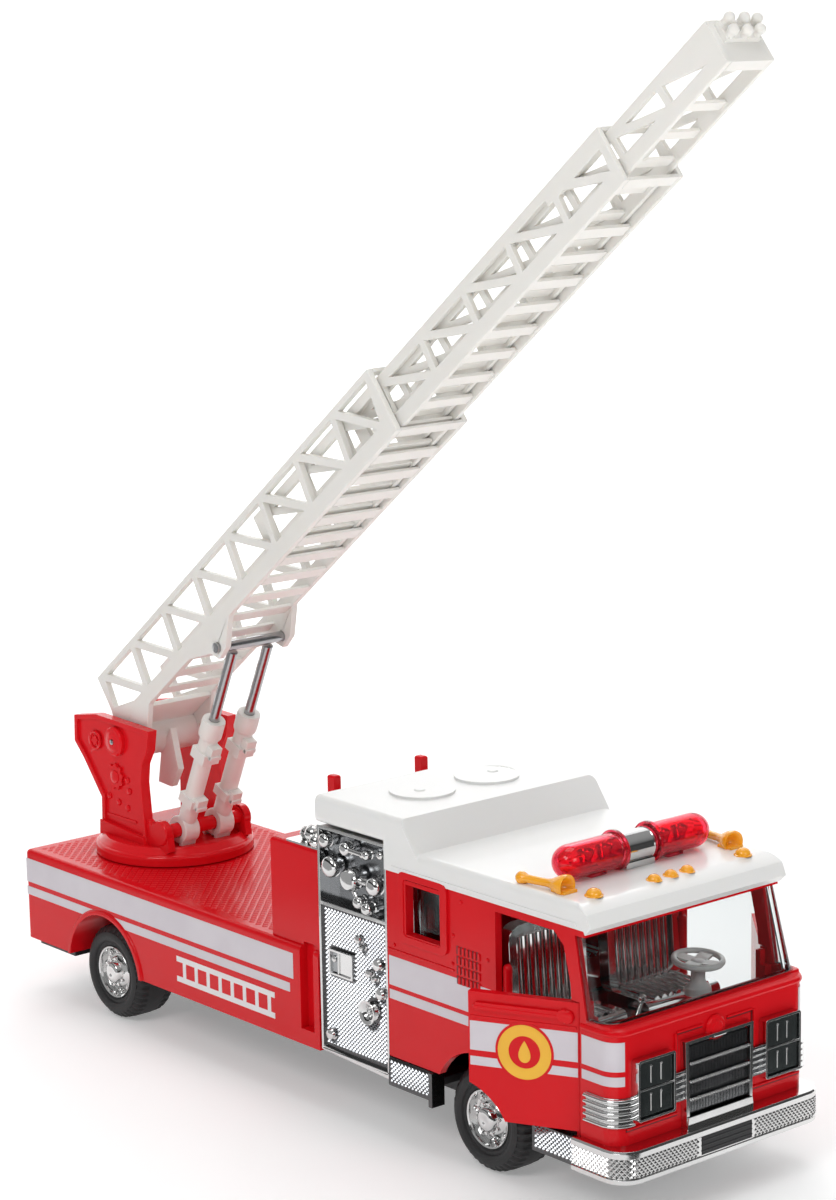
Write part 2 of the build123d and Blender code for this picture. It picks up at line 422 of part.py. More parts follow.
n2 = [75.6, 91.8, 107.9, 124.0, 140.1, 156.0, 171.9, 188.0, 203.6]
walls, steps, end, top = section(L2, n2, 0.6, 3.2, 2.2, 1.7, [74.6 + 8.05 * i for i in range(15)], 2.8, 0.7, lift=0.4)
save("ladder_middle_sides", [w + yb(185.2, 204.4, L2["hw"] - L2["t"], L2["hw"], 10.6, 13.9, s) for w, s in zip(walls, (-1, 1))], LAD)
save("ladder_middle_steps", steps + [end, top], LAD)

n3 = [112.6, 128.0, 143.4, 158.8, 174.2, 189.6, 204.9, 219.6, 235.0]
walls, steps, end, top = section(L3, n3, -0.3, 2.9, 1.9, 1.6, [116.5 + 8.1 * i for i in range(14)], 2.2, 0.7, skip=True, lift=0.8)
W3 = L3["hw"] - L3["t"]
save("ladder_tip_sides", walls, LAD)
save("ladder_tip_steps", steps + [end + top + bx(233.9, 235.6, -W3, W3, 4.0, 12.9)], LAD)
noz = bx(235.6, 236.7, -4.2, 4.2, 8.0, 12.0)
for y, n in ((-3.3, 8.9), (0.0, 8.7), (3.3, 8.9), (-2.6, 11.6), (1.0, 11.5), (4.0, 11.2)):
    noz += cyl_x(y, n, 0.8, 236.2, 238.0) + Pos(238.0, y, n) * Sphere(1.05)
save("tip_nozzles", noz, LAD)

# ------------------------------------------------------------------ lift cylinders and rods, drawn along +X and then tilted
LIFT = Pos(FOOT_X, 0, FOOT_Z) * Rot(0, -ROD_DEG, 0)
for name, s in (("right", -1), ("left", 1)):
    y = s * 4.75
    c = cyl_x(y, 0, 1.95, 1.0, CYL_LEN) + cyl_x(y, 0, 2.5, CYL_LEN - 4.2, CYL_LEN)
    c += cyl_y(0, 0, 3.0, y - 1.9, y + 1.9)
    c += bx(7.0, 9.2, y - 2.2, y + 2.2, -2.6, 2.2) + bx(19.0, 21.6, y - 2.2, y + 2.2, -2.6, 2.2)
    c -= cyl_y(0, 0, 1.6 + RUN, -12, 12)
    c -= bx(-4.0, -1.0, y - 3, y + 3, -1.25, 1.25) + bx(-4.0, 0, y - 3, y + 3, -1.25, 1.25)
    c -= cyl_x(y, 0, 1.15 + RUN, 3.6, CYL_LEN + 1)
    save(f"lift_cylinder_{name}", c, LIFT)
save("lift_rods", [cyl_x(s * 4.75, 0, 1.15, 18.4, ROD_LEN - BAR_R - 0.75) for s in (-1, 1)], LIFT)
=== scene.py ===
import bpy
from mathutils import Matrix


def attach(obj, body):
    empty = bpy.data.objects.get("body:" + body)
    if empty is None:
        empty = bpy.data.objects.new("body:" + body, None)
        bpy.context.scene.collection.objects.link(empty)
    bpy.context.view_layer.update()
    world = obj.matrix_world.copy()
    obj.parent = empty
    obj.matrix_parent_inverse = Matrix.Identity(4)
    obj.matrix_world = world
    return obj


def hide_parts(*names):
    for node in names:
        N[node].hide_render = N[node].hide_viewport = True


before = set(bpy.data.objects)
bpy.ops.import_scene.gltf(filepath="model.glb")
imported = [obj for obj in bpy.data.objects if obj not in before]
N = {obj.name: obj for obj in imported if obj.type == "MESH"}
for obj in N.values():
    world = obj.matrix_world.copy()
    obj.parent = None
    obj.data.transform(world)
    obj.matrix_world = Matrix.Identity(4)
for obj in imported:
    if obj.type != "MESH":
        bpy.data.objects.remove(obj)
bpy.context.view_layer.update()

import bpy, bmesh, math
from mathutils import Vector, Matrix

XS, YS = -69.32, -2.22   # stations are counted from the rear axle and the truck's middle plane, in millimetres
scn = bpy.context.scene


def P(x, y, z):
    return ((x + XS) / 1000.0, (y + YS) / 1000.0, z / 1000.0)


# ------------------------------------------------------------------ materials
def new_mat(name):
    m = bpy.data.materials.new(name)
    m.use_nodes = True
    nt = m.node_tree
    b = nt.nodes["Principled BSDF"]
    return m, nt, b


def surface(name, col, col2=None, rough=0.3, rough2=None, metal=0.0, scale=60.0, bump=0.0, bump_scale=400.0, coat=0.0, coat_rough=0.05, spec=0.5, ior=1.5, trans=0.0, sss=0.0, edge=None, detail=4.0, sss_col=None, stretch=None, alpha=None):
    """Noise-driven colour and roughness, with a fine bump and, when an edge colour is given, a different tone where
    the surface turns sharply.
    """
    m, nt, b = new_mat(name)
    L = nt.links.new
    tc = nt.nodes.new("ShaderNodeTexCoord")
    src = tc.outputs["Object"]
    if stretch:
        mp = nt.nodes.new("ShaderNodeMapping")
        mp.inputs["Scale"].default_value = stretch
        L(src, mp.inputs["Vector"])
        src = mp.outputs["Vector"]
    n1 = nt.nodes.new("ShaderNodeTexNoise")
    n1.inputs["Scale"].default_value = scale
    n1.inputs["Detail"].default_value = detail
    L(src, n1.inputs["Vector"])
    cr = nt.nodes.new("ShaderNodeValToRGB")
    cr.color_ramp.elements[0].position = 0.30
    cr.color_ramp.elements[1].position = 0.72
    c2 = col2 or [min(1, c * 1.06 + 0.004) for c in col]
    cr.color_ramp.elements[0].color = (*col, 1)
    cr.color_ramp.elements[1].color = (*c2, 1)
    L(n1.outputs["Fac"], cr.inputs["Fac"])
    colour = cr.outputs["Color"]
    if edge:
        # a slightly different tone where the surface turns sharply
        ge = nt.nodes.new("ShaderNodeNewGeometry")
        r2 = nt.nodes.new("ShaderNodeValToRGB")
        r2.color_ramp.elements[0].position = 0.50
        r2.color_ramp.elements[1].position = 0.60
        L(ge.outputs["Pointiness"], r2.inputs["Fac"])
        mx = nt.nodes.new("ShaderNodeMix")
        mx.data_type = "RGBA"
        L(r2.outputs["Color"], mx.inputs["Factor"])
        L(colour, mx.inputs["A"])
        mx.inputs["B"].default_value = (*edge, 1)
        colour = mx.outputs["Result"]
    L(colour, b.inputs["Base Color"])
    mr = nt.nodes.new("ShaderNodeMapRange")
    mr.inputs["To Min"].default_value = rough
    mr.inputs["To Max"].default_value = rough2 if rough2 is not None else rough * 1.35 + 0.01
    n2 = nt.nodes.new("ShaderNodeTexNoise")
    n2.inputs["Scale"].default_value = scale * 2.3
    n2.inputs["Detail"].default_value = 3.0
    L(src, n2.inputs["Vector"])
    L(n2.outputs["Fac"], mr.inputs["Value"])
    L(mr.outputs["Result"], b.inputs["Roughness"])
    if bump:
        n3 = nt.nodes.new("ShaderNodeTexNoise")
        n3.inputs["Scale"].default_value = bump_scale
        n3.inputs["Detail"].default_value = 2.0
        L(src, n3.inputs["Vector"])
        bp = nt.nodes.new("ShaderNodeBump")
        bp.inputs["Strength"].default_value = bump
        bp.inputs["Distance"].default_value = 0.0002
        L(n3.outputs["Fac"], bp.inputs["Height"])
        L(bp.outputs["Normal"], b.inputs["Normal"])
    b.inputs["Metallic"].default_value = metal
    b.inputs["Coat Weight"].default_value = coat
    b.inputs["Coat Roughness"].default_value = coat_rough
    b.inputs["Specular IOR Level"].default_value = spec
    b.inputs["IOR"].default_value = ior
    b.inputs["Transmission Weight"].default_value = trans
    if sss:
        b.inputs["Subsurface Weight"].default_value = sss
        b.inputs["Subsurface Radius"].default_value = (0.6, 0.5, 0.4)
        b.inputs["Subsurface Scale"].default_value = 0.0012
    if alpha is not None:
        b.inputs["Alpha"].default_value = alpha
    return m


M = {}
M["red"] = surface("red_diecast_paint", (0.66, 0.004, 0.009), (0.72, 0.006, 0.012), rough=0.13, rough2=0.20, scale=35, bump=0.05, bump_scale=900, coat=0.0, spec=0.22)
M["red_p"] = surface("red_moulded_plastic", (0.72, 0.006, 0.012), (0.78, 0.009, 0.016), rough=0.13, rough2=0.22, scale=40, bump=0.06, bump_scale=700, coat=0.0, spec=0.26)
M["red_deep"] = surface("red_deck_paint", (0.64, 0.005, 0.010), (0.70, 0.007, 0.013), rough=0.34, rough2=0.46, scale=60, bump=0.08, bump_scale=900, spec=0.14)
M["white"] = surface("white_roof_plastic", (0.84, 0.84, 0.825), (0.87, 0.87, 0.86), rough=0.26, rough2=0.36, scale=30, bump=0.05, bump_scale=600, coat=0.25, sss=0.10)
M["ladder"] = surface("ladder_plastic", (0.80, 0.785, 0.745), (0.84, 0.825, 0.79), rough=0.34, rough2=0.46, scale=45, bump=0.06, bump_scale=800, sss=0.18, coat=0.0, spec=0.4)
M["chrome"] = surface("plated_plastic", (0.74, 0.74, 0.735), (0.64, 0.645, 0.645), rough=0.07, rough2=0.14, metal=1.0, scale=50, bump=0.10, bump_scale=320)
# darker copy of the plating: painted shade, for darker reflections on the grille slats, grille links, tread studs,
# pump diamond plate and pump recess
M["chrome_painted_shade"] = surface("plated_plastic_painted_shade", (0.34, 0.35, 0.36), (0.26, 0.27, 0.29), rough=0.14, rough2=0.24, metal=1.0, scale=60, bump=0.12, bump_scale=420)
M["steel"] = surface("steel_rod", (0.42, 0.42, 0.43), (0.48, 0.48, 0.49), rough=0.20, rough2=0.28, metal=1.0, scale=60, bump=0.02, bump_scale=300)
M["tyre"] = surface("tyre_rubber", (0.014, 0.014, 0.015), (0.026, 0.026, 0.027), rough=0.48, rough2=0.66, scale=90, bump=0.22, bump_scale=1500, spec=0.45)
M["black"] = surface("black_moulded_plastic", (0.014, 0.014, 0.016), (0.022, 0.022, 0.024), rough=0.34, rough2=0.5, scale=70, bump=0.12, bump_scale=1100)
M["dark_lens"] = surface("smoked_lamp", (0.030, 0.038, 0.038), (0.060, 0.070, 0.070), rough=0.10, rough2=0.2, metal=0.55, scale=220, bump=0.12, bump_scale=900, coat=0.7)
def clear_mat(name):
    m, nt, b_ = new_mat(name)
    L = nt.links.new
    out = nt.nodes["Material Output"]
    tr = nt.nodes.new("ShaderNodeBsdfTransparent")
    tr.inputs["Color"].default_value = (0.93, 0.95, 0.95, 1)
    tc_ = nt.nodes.new("ShaderNodeTexCoord")
    nz = nt.nodes.new("ShaderNodeTexNoise")
    nz.inputs["Scale"].default_value = 55.0
    L(tc_.outputs["Object"], nz.inputs["Vector"])
    bp = nt.nodes.new("ShaderNodeBump")
    bp.inputs["Strength"].default_value = 0.18
    bp.inputs["Distance"].default_value = 0.0004
    L(nz.outputs["Fac"], bp.inputs["Height"])
    mr_ = nt.nodes.new("ShaderNodeMapRange")
    mr_.inputs["To Min"].default_value = 0.02
    mr_.inputs["To Max"].default_value = 0.07
    L(nz.outputs["Fac"], mr_.inputs["Value"])
    L(mr_.outputs["Result"], b_.inputs["Roughness"])
    L(bp.outputs["Normal"], b_.inputs["Normal"])
    b_.inputs["Base Color"].default_value = (0.80, 0.83, 0.84, 1)
    b_.inputs["Metallic"].default_value = 1.0
    lw = nt.nodes.new("ShaderNodeLayerWeight")
    lw.inputs["Blend"].default_value = 0.22
    L(bp.outputs["Normal"], lw.inputs["Normal"])
    mx = nt.nodes.new("ShaderNodeMixShader")
    L(lw.outputs["Fresnel"], mx.inputs["Fac"])
    L(tr.outputs["BSDF"], mx.inputs[1])
    L(b_.outputs["BSDF"], mx.inputs[2])
    L(mx.outputs["Shader"], out.inputs["Surface"])
    return m


M["clear"] = clear_mat("clear_window_plastic")
M["red_lens"] = surface("red_lamp_lens", (1.0, 0.05, 0.10), (1.0, 0.07, 0.13), rough=0.05, rough2=0.10, scale=40, bump=0.03, bump_scale=300, trans=0.90, ior=1.40)
M["amber"] = surface("amber_plastic", (0.95, 0.38, 0.012), (1.0, 0.46, 0.03), rough=0.16, rough2=0.26, scale=70, bump=0.05, bump_scale=500, coat=0.4, sss=0.12)
M["stripe"] = surface("stripe_print", (0.63, 0.585, 0.63), (0.68, 0.64, 0.68), rough=0.30, rough2=0.42, scale=120, bump=0.05, bump_scale=1600, coat=0.3)
M["mark"] = surface("white_print", (0.80, 0.78, 0.79), (0.84, 0.82, 0.83), rough=0.32, rough2=0.42, scale=140, bump=0.05, bump_scale=1600)
M["gold"] = surface("yellow_print", (0.86, 0.44, 0.015), (0.92, 0.50, 0.02), rough=0.30, rough2=0.4, scale=150, bump=0.05, bump_scale=1600, coat=0.3)
# dark red painted shade for the louvre slots and front panel gaps
M["painted_shade_red"] = surface("red_painted_shade", (0.16, 0.002, 0.004), (0.20, 0.003, 0.006), rough=0.35, scale=100, bump=0.05)
M["board"] = surface("circuit_board", (0.02, 0.12, 0.05), (0.03, 0.16, 0.07), rough=0.4, scale=200, bump=0.1)

# an even darker copy of the plating: painted shade, so the flat sills, running boards and pump back plate reflect
# darker
M["plate_painted_shade"] = surface("plated_plastic_painted_shade", (0.13, 0.13, 0.132), (0.10, 0.10, 0.103), rough=0.20, rough2=0.30, metal=1.0, scale=50, bump=0.08, bump_scale=320)


# ------------------------------------------------------------------ mesh building, in millimetre stations
class MB:
    def __init__(self):
        self.v, self.f = [], []

    def add(self, vs, fs):
        o = len(self.v)
        self.v += [tuple(map(float, v)) for v in vs]
        self.f += [tuple(i + o for i in f) for f in fs]
        return self

    def box(self, x0, x1, y0, y1, z0, z1):
        vs = [(x, y, z) for x in (x0, x1) for y in (y0, y1) for z in (z0, z1)]
        return self.add(vs, [(0, 1, 3, 2), (4, 6, 7, 5), (0, 4, 5, 1), (2, 3, 7, 6), (0, 2, 6, 4), (1, 5, 7, 3)])

    def obox(self, c, u, v, w, a, b, d):
        # oriented box: centre c, unit axes u v w, half sizes a b d
        c, u, v, w = Vector(c), Vector(u), Vector(v), Vector(w)
        vs = [c + u * i * a + v * j * b + w * k * d for i in (-1, 1) for j in (-1, 1) for k in (-1, 1)]
        return self.add(vs, [(0, 1, 3, 2), (4, 6, 7, 5), (0, 4, 5, 1), (2, 3, 7, 6), (0, 2, 6, 4), (1, 5, 7, 3)])

    def prism(self, pts, axis, a, b):
        # pts: 2D polygon in the other two axes (order x,y,z without axis)
        n = len(pts)

        def put(p, t):
            if axis == "y":
                return (p[0], t, p[1])
            if axis == "x":
                return (t, p[0], p[1])
            return (p[0], p[1], t)
        vs = [put(p, a) for p in pts] + [put(p, b) for p in pts]
        fs = [tuple(range(n)), tuple(range(2 * n - 1, n - 1, -1))] + [(i, (i + 1) % n, n + (i + 1) % n, n + i) for i in range(n)]
        return self.add(vs, fs)

    def frame_prism(self, outer, inner, axis, a, b):
        # ring between two polygons with the same number of points
        n = len(outer)

        def put(p, t):
            if axis == "y":
                return (p[0], t, p[1])
            if axis == "x":
                return (t, p[0], p[1])
            return (p[0], p[1], t)
        vs = [put(p, a) for p in outer] + [put(p, a) for p in inner] + [put(p, b) for p in outer] + [put(p, b) for p in inner]
        fs = []
        for i in range(n):
            j = (i + 1) % n
            fs += [(i, j, n + j, n + i), (2 * n + i, 3 * n + i, 3 * n + j, 2 * n + j), (i, 2 * n + i, 2 * n + j, j), (n + i, n + j, 3 * n + j, 3 * n + i)]
        return self.add(vs, fs)

    def lathe(self, o, d, prof, n=48, close=False):
        # prof: (radius, height along d); closed ends where radius is 0
        o, d = Vector(o), Vector(d).normalized()
        a = d.orthogonal().normalized()
        b = d.cross(a)
        vs, fs, rings = [], [], []
        for r, h in prof:
            if r < 1e-6:
                rings.append([len(vs)])
                vs.append(o + d * h)
            else:
                rings.append(list(range(len(vs), len(vs) + n)))
                vs += [o + d * h + (a * math.cos(2 * math.pi * i / n) + b * math.sin(2 * math.pi * i / n)) * r for i in range(n)]
        pairs = list(zip(rings[:-1], rings[1:]))
        if close:
            pairs.append((rings[-1], rings[0]))
        for A, B in pairs:
            for i in range(n):
                j = (i + 1) % n
                if len(A) == 1 and len(B) == 1:
                    continue
                if len(A) == 1:
                    fs.append((A[0], B[j], B[i]))
                elif len(B) == 1:
                    fs.append((A[i], A[j], B[0]))
                else:
                    fs.append((A[i], A[j], B[j], B[i]))
        return self.add(vs, fs)

    def cyl(self, p, q, r, n=32, r2=None, c=0.0):
        p, q = Vector(p), Vector(q)
        h = (q - p).length
        r2 = r if r2 is None else r2
        if c:
            return self.lathe(p, q - p, [(0, 0), (r - c, 0), (r, c), (r2, h - c), (r2 - c, h), (0, h)], n)
        return self.lathe(p, q - p, [(0, 0), (r, 0), (r2, h), (0, h)], n)

    def ball(self, c, r, n=28, m=14, d=(0, 0, 1), a0=-90, a1=90):
        pr = []
        for k in range(m + 1):
            t = math.radians(a0 + (a1 - a0) * k / m)
            rr = r * math.cos(t)
            pr.append((0 if rr < 1e-4 else rr, r * math.sin(t)))
        if pr[0][0] > 0:
            pr.insert(0, (0, pr[0][1]))
        return self.lathe(c, d, pr, n)

    def torus(self, c, d, R, r, n=48, m=14):
        pr = [(R + r * math.cos(2 * math.pi * k / m), r * math.sin(2 * math.pi * k / m)) for k in range(m)]
        return self.lathe(c, d, pr, n, close=True)

    def lozenges(self, o, u, v, w, lu, lv, pu, pv, h, keep=None, ku=0.46, kv=0.46, tip=0.45):
        # rows of small raised diamonds on the plane at o spanned by u and v, standing along w
        o, u, v, w = Vector(o), Vector(u).normalized(), Vector(v).normalized(), Vector(w).normalized()
        nu, nv = int(lu / pu), int(lv / (pv / 2))
        for j in range(nv):
            for i in range(nu + 1):
                a = (i + (0.5 if j % 2 else 0.0) + 0.25) * pu
                b = (j + 0.75) * pv / 2
                if a + pu * ku > lu or b + pv * kv > lv or a - pu * ku < 0 or b - pv * kv < 0:
                    continue
                c = o + u * a + v * b
                if keep and not keep(c):
                    continue
                q = [c + u * pu * ku, c + v * pv * kv, c - u * pu * ku, c - v * pv * kv]
                t = [c + (x - c) * tip + w * h for x in q]
                self.add(q + t, [(0, 1, 5, 4), (1, 2, 6, 5), (2, 3, 7, 6), (3, 0, 4, 7), (4, 5, 6, 7)])
        return self

    def move(self, fn):
        self.v = [tuple(fn(Vector(p))) for p in self.v]
        return self


PIECES = []


def make(name, mb, mat, body, bevel=0.0, seg=2, smooth=35, replaces=(), angle=30, weld=True):
    me = bpy.data.meshes.new(name)
    me.from_pydata([P(*p) for p in mb.v], [], mb.f)
    me.validate()
    bm = bmesh.new()
    bm.from_mesh(me)
    if weld:
        bmesh.ops.remove_doubles(bm, verts=bm.verts, dist=2e-7)
    bmesh.ops.recalc_face_normals(bm, faces=bm.faces)
    bm.to_mesh(me)
    bm.free()
    for p in me.polygons:
        p.use_smooth = True
    me.set_sharp_from_angle(angle=math.radians(smooth))
    o = bpy.data.objects.new(name, me)
    scn.collection.objects.link(o)
    me.materials.append(M[mat])
    if bevel:
        b = o.modifiers.new("bevel", "BEVEL")
        b.width = bevel / 1000
        b.segments = seg
        b.limit_method = "ANGLE"
        b.angle_limit = math.radians(angle)
        b.harden_normals = True
    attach(o, body)
    if replaces:
        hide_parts(*replaces)
    PIECES.append(o)
    return o


def cad(node, mat, bevel=0.0, seg=2, angle=28, smooth=True):
    o = N[node]
    o.data.materials.clear()
    o.data.materials.append(M[mat])
    w = o.modifiers.new("weld", "WELD")
    w.merge_threshold = 1e-6
    if bevel:
        b = o.modifiers.new("bevel", "BEVEL")
        b.width = bevel / 1000
        b.segments = seg
        b.limit_method = "ANGLE"
        b.angle_limit = math.radians(angle)
        b.use_clamp_overlap = True
    if smooth:
        for p in o.data.polygons:
            p.use_smooth = True
        o.data.set_sharp_from_angle(angle=math.radians(32))
        wn = o.modifiers.new("wn", "WEIGHTED_NORMAL")
        wn.keep_sharp = True
    return o


def rounded(x0, x1, y0, y1, r, n=6):
    # rounded rectangle in 2D, counter-clockwise
    out = []
    for cx, cy, a in ((x1 - r, y1 - r, 0), (x0 + r, y1 - r, 90), (x0 + r, y0 + r, 180), (x1 - r, y0 + r, 270)):
        for k in range(n + 1):
            t = math.radians(a + 90 * k / n)
            out.append((cx + r * math.cos(t), cy + r * math.sin(t)))
    return out


# ------------------------------------------------------------------ camera, from the photograph's view
AZ, EL, ROLL = math.radians(49.87), math.radians(11.0), math.radians(-1.01)
back = Vector((math.sin(AZ) * math.cos(EL), -math.cos(AZ) * math.cos(EL), math.sin(EL)))
right = Vector((math.cos(AZ), math.sin(AZ), 0))
up = back.cross(right)
r2 = right * math.cos(ROLL) + up * math.sin(ROLL)
u2 = up * math.cos(ROLL) - right * math.sin(ROLL)
cam = bpy.data.cameras.new("cam")
cam.lens, cam.sensor_width, cam.sensor_fit = 91.42, 36.0, "AUTO"
cam.clip_start, cam.clip_end = 0.01, 20
co = bpy.data.objects.new("cam", cam)
scn.collection.objects.link(co)
mw = Matrix((r2, u2, back)).transposed().to_4x4()
mw.translation = Vector(P(535.03, -385.11, 217.41))
co.matrix_world = mw
scn.camera = co

# ------------------------------------------------------------------ carried CAD nodes
for node, mat, bev in (
    ("chassis_plate", "black", 0.2), ("battery_cover", "black", 0.2), ("screws", "steel", 0.08), ("button_cells", "steel", 0.15),
    ("speaker", "black", 0.1), ("circuit_board", "board", 0.05), ("pullback_motor", "black", 0.3), ("rear_body", "red", 0.55),
    ("cab_shell", "red", 0.32), ("cab_roof", "white", 0.55), ("crew_windows", "clear", 0.05), ("pump_housing", "black", 0.2),
    ("ladder_posts", "red_p", 0.1), ("lightbar_lamps", "chrome", 0.06), ("front_axle", "steel", 0.1), ("rear_axle", "steel", 0.1),
    ("drive_gear", "white", 0.05), ("turntable_disc", "red_p", 0.3), ("turntable_yoke", "red_p", 0.3), ("turntable_clip", "black", 0.1), ("foot_rod", "red_p", 0.1),
    ("pivot_pin", "steel", 0.12), ("ladder_base_sides", "ladder", 0.22), ("ladder_base_steps", "ladder", 0.1), ("ladder_base_root", "ladder", 0.25), ("ladder_crossbar", "steel", 0.1), ("ladder_middle_sides", "ladder", 0.2), ("ladder_middle_steps", "ladder", 0.1),
    ("ladder_tip_sides", "ladder", 0.2), ("ladder_tip_steps", "ladder", 0.1), ("tip_nozzles", "ladder", 0.12), ("lift_cylinder_right", "ladder", 0.18), ("lift_cylinder_left", "ladder", 0.18),
    ("lift_rods", "steel", 0.1), ("door_right", "red", 0.3), ("door_left", "red", 0.3), ("power_switch", "black", 0.15)):
    cad(node, mat, bev)

# ------------------------------------------------------------------ wheels
for name, ax in (("rear", 0.0), ("front", 123.5)):
    tb, hb = MB(), MB()
    for s in (-1, 1):
        n = 156
        # tread profile across the tyre, from the outer bead to the inner one: (radius, |y|, kind)
        prof = [(5.95, 21.5, 0), (5.95, 23.1, 0), (6.3, 23.45, 0), (6.9, 23.35, 0), (7.1, 23.7, 0), (7.6, 23.95, 0), (8.4, 24.0, 0), (9.0, 23.8, 0), (9.25, 23.55, 1), (9.95, 23.0, 1), (10.35, 22.3, 1), (10.42, 21.2, 1), (10.40, 20.9, 0), (10.5, 20.6, 0), (10.5, 17.2, 0), (10.4, 16.9, 0), (10.42, 16.5, 1), (10.35, 15.2, 1), (9.9, 14.4, 1), (9.2, 13.8, 0), (8.4, 13.5, 0), (7.2, 13.6, 0), (6.85, 14.4, 0), (6.85, 21.0, 0)]
        vs, fs = [], []
        for r, y, k in prof:
            for i in range(n):
                t = 2 * math.pi * i / n
                d = (-0.34 if (i % 4) in (0, 1) else 0.0) if k else 0.0
                vs.append((ax + (r + d) * math.cos(t), s * y, 10.5 + (r + d) * math.sin(t)))
        m = len(prof)
        for a in range(m):
            b = (a + 1) % m
            for i in range(n):
                j = (i + 1) % n
                fs.append((a * n + i, a * n + j, b * n + j, b * n + i))
        tb.add(vs, fs)
        for r in (7.9, 8.25):
            tb.torus((ax, s * 23.93, 10.5), (0, 1, 0), r, 0.07, 72, 6)
        # plated hub: rim, dished face, raised centre boss, lugs and scallops
        d = (0, s, 0)
        hb.lathe((ax, 0, 10.5), d, [(6.84, 14.3), (6.84, 20.9), (5.9, 21.2), (5.9, 23.2), (5.7, 23.45), (5.4, 23.3), (5.1, 22.4), (4.9, 21.7), (4.5, 21.5), (4.0, 21.9), (3.5, 22.6), (3.0, 22.95), (2.6, 22.9), (2.45, 23.1), (2.3, 23.7), (2.0, 24.1), (1.4, 24.25), (0.9, 24.28), (0.55, 24.1), (0, 24.1)], 72)
        hb.lathe((ax, 0, 10.5), d, [(6.88, 14.3), (5.9, 14.4), (5.7, 19.0), (2.4, 19.2), (2.2, 14.3), (1.25, 14.3), (1.25, 20.4), (0, 20.4)], 48)
        for k in range(10):
            t = math.radians(36 * k + 10)
            x, z = ax + 3.0 * math.cos(t), 10.5 + 3.0 * math.sin(t)
            hb.lathe((x, s * 22.6, z), d, [(0.42, 0), (0.42, 0.5), (0.3, 0.72), (0, 0.76)], 8)
        for k in range(8):
            t = math.radians(45 * k)
            x, z = ax + 4.45 * math.cos(t), 10.5 + 4.45 * math.sin(t)
            hb.lathe((x, s * 21.2, z), (math.cos(t) * 0.25, s, math.sin(t) * 0.25), [(0.85, 0.2), (0.8, 0.75), (0.55, 1.05), (0.0, 1.15)], 12)
    make(f"{name}_tyre_treads", tb, "tyre", f"{name}_wheels", smooth=30, replaces=(f"{name}_tyres",))
    make(f"{name}_hub_caps", hb, "chrome", f"{name}_wheels", smooth=40, replaces=(f"{name}_hubs",))

# ------------------------------------------------------------------ rear body details
tread = MB()
tread.lozenges((-29.0, -24.2, 32.79), (1, 0, 0), (0, 1, 0), (0, 0, 1), 87.6, 48.4, 2.2, 2.2, 0.10, keep=lambda c: (c.x + 8.1) ** 2 + c.y ** 2 > 18.4 ** 2, ku=0.42, kv=0.42)
make("deck_tread", tread, "red_deep", "truck", smooth=10)


def strip(mb, x0, x1, zlo, zhi, y, dx=0.5, arch=None, th=0.06, s=-1):
    n = max(1, int((x1 - x0) / dx))
    vs, fs = [], []
    for i in range(n + 1):
        x = x0 + (x1 - x0) * i / n
        lo = zlo
        if arch:
            cx, cz, R = arch
            if abs(x - cx) < R:
                lo = max(zlo, min(zhi - 0.02, cz + math.sqrt(R * R - (x - cx) ** 2)))
        for yy in (s * y, s * (y + th)):
            vs += [(x, yy, lo), (x, yy, zhi)]
    for i in range(n):
        a, b = 4 * i, 4 * (i + 1)
        fs += [(a + 2, b + 2, b + 3, a + 3), (a, a + 1, b + 1, b), (a, b, b + 2, a + 2), (a + 1, a + 3, b + 3, b + 1)]
    fs += [(0, 2, 3, 1), (4 * n, 4 * n + 1, 4 * n + 3, 4 * n + 2)]
    mb.add(vs, fs)


st = MB()
for s in (-1, 1):
    strip(st, -30.1, 67.4, 25.4, 30.8, 25.54, arch=(0, 10.5, 14.3), s=s)
    strip(st, -30.1, 66.2, 22.4, 24.3, 25.54, arch=(0, 10.5, 14.3), s=s)
    # crew panel
    strip(st, 97.5, 128.2, 31.5, 37.4, 25.19, s=s)
    strip(st, 97.5, 128.2, 28.7, 30.6, 25.19, s=s)
make("side_stripes", st, "stripe", "truck", smooth=20)

# plain ladder pictogram in place of lettering
mk = MB()
for s in (-1, 1):
    y0, y1 = sorted((s * 25.54, s * 25.60))
    for z in (15.4, 19.8):
        mk.box(27.0, 61.0, y0, y1, z, z + 1.2)
    for k in range(8):
        x = 29.2 + k * 4.2
        mk.box(x, x + 1.1, y0, y1, 16.6, 19.8)
make("side_pictogram", mk, "mark", "truck", smooth=20)

# wheel arch lips
lip = MB()
for s in (-1, 1):
    vs, fs = [], []
    n = 48
    prof = [(13.25, 25.3), (13.25, 25.95), (13.5, 26.05), (13.9, 26.0), (14.4, 25.7), (14.5, 25.4)]
    a0 = math.degrees(math.asin((12.3 - 10.5) / 13.25))
    for i in range(n + 1):
        t = math.radians(a0 + (180 - 2 * a0) * i / n)
        for r, y in prof:
            vs.append((r * math.cos(t), s * y, 10.5 + r * math.sin(t)))
    m = len(prof)
    for i in range(n):
        for k in range(m - 1):
            fs.append((i * m + k, (i + 1) * m + k, (i + 1) * m + k + 1, i * m + k + 1))
    lip.add(vs, fs)
make("rear_arch_lips", lip, "red", "truck", smooth=60)

# ------------------------------------------------------------------ cab details
lv, lvd = MB(), MB()
for s in (-1, 1):
    for row in range(4):
        for c in range(6):
            x = 117.6 + c * 1.12
            z = 36.4 + row * 1.95
            y0, y1 = sorted((s * 25.15, s * 25.28))
            lvd.box(x, x + 0.5, y0, y1, z, z + 1.6)
            y0, y1 = sorted((s * 25.15, s * 25.45))
            lv.box(x + 0.5, x + 1.12, y0, y1, z, z + 1.45)
make("louvre_ribs", lv, "red", "truck", bevel=0.08)
# the slots between the louvre ribs are painted shade in dark red
make("louvre_slots", lvd, "painted_shade_red", "truck")

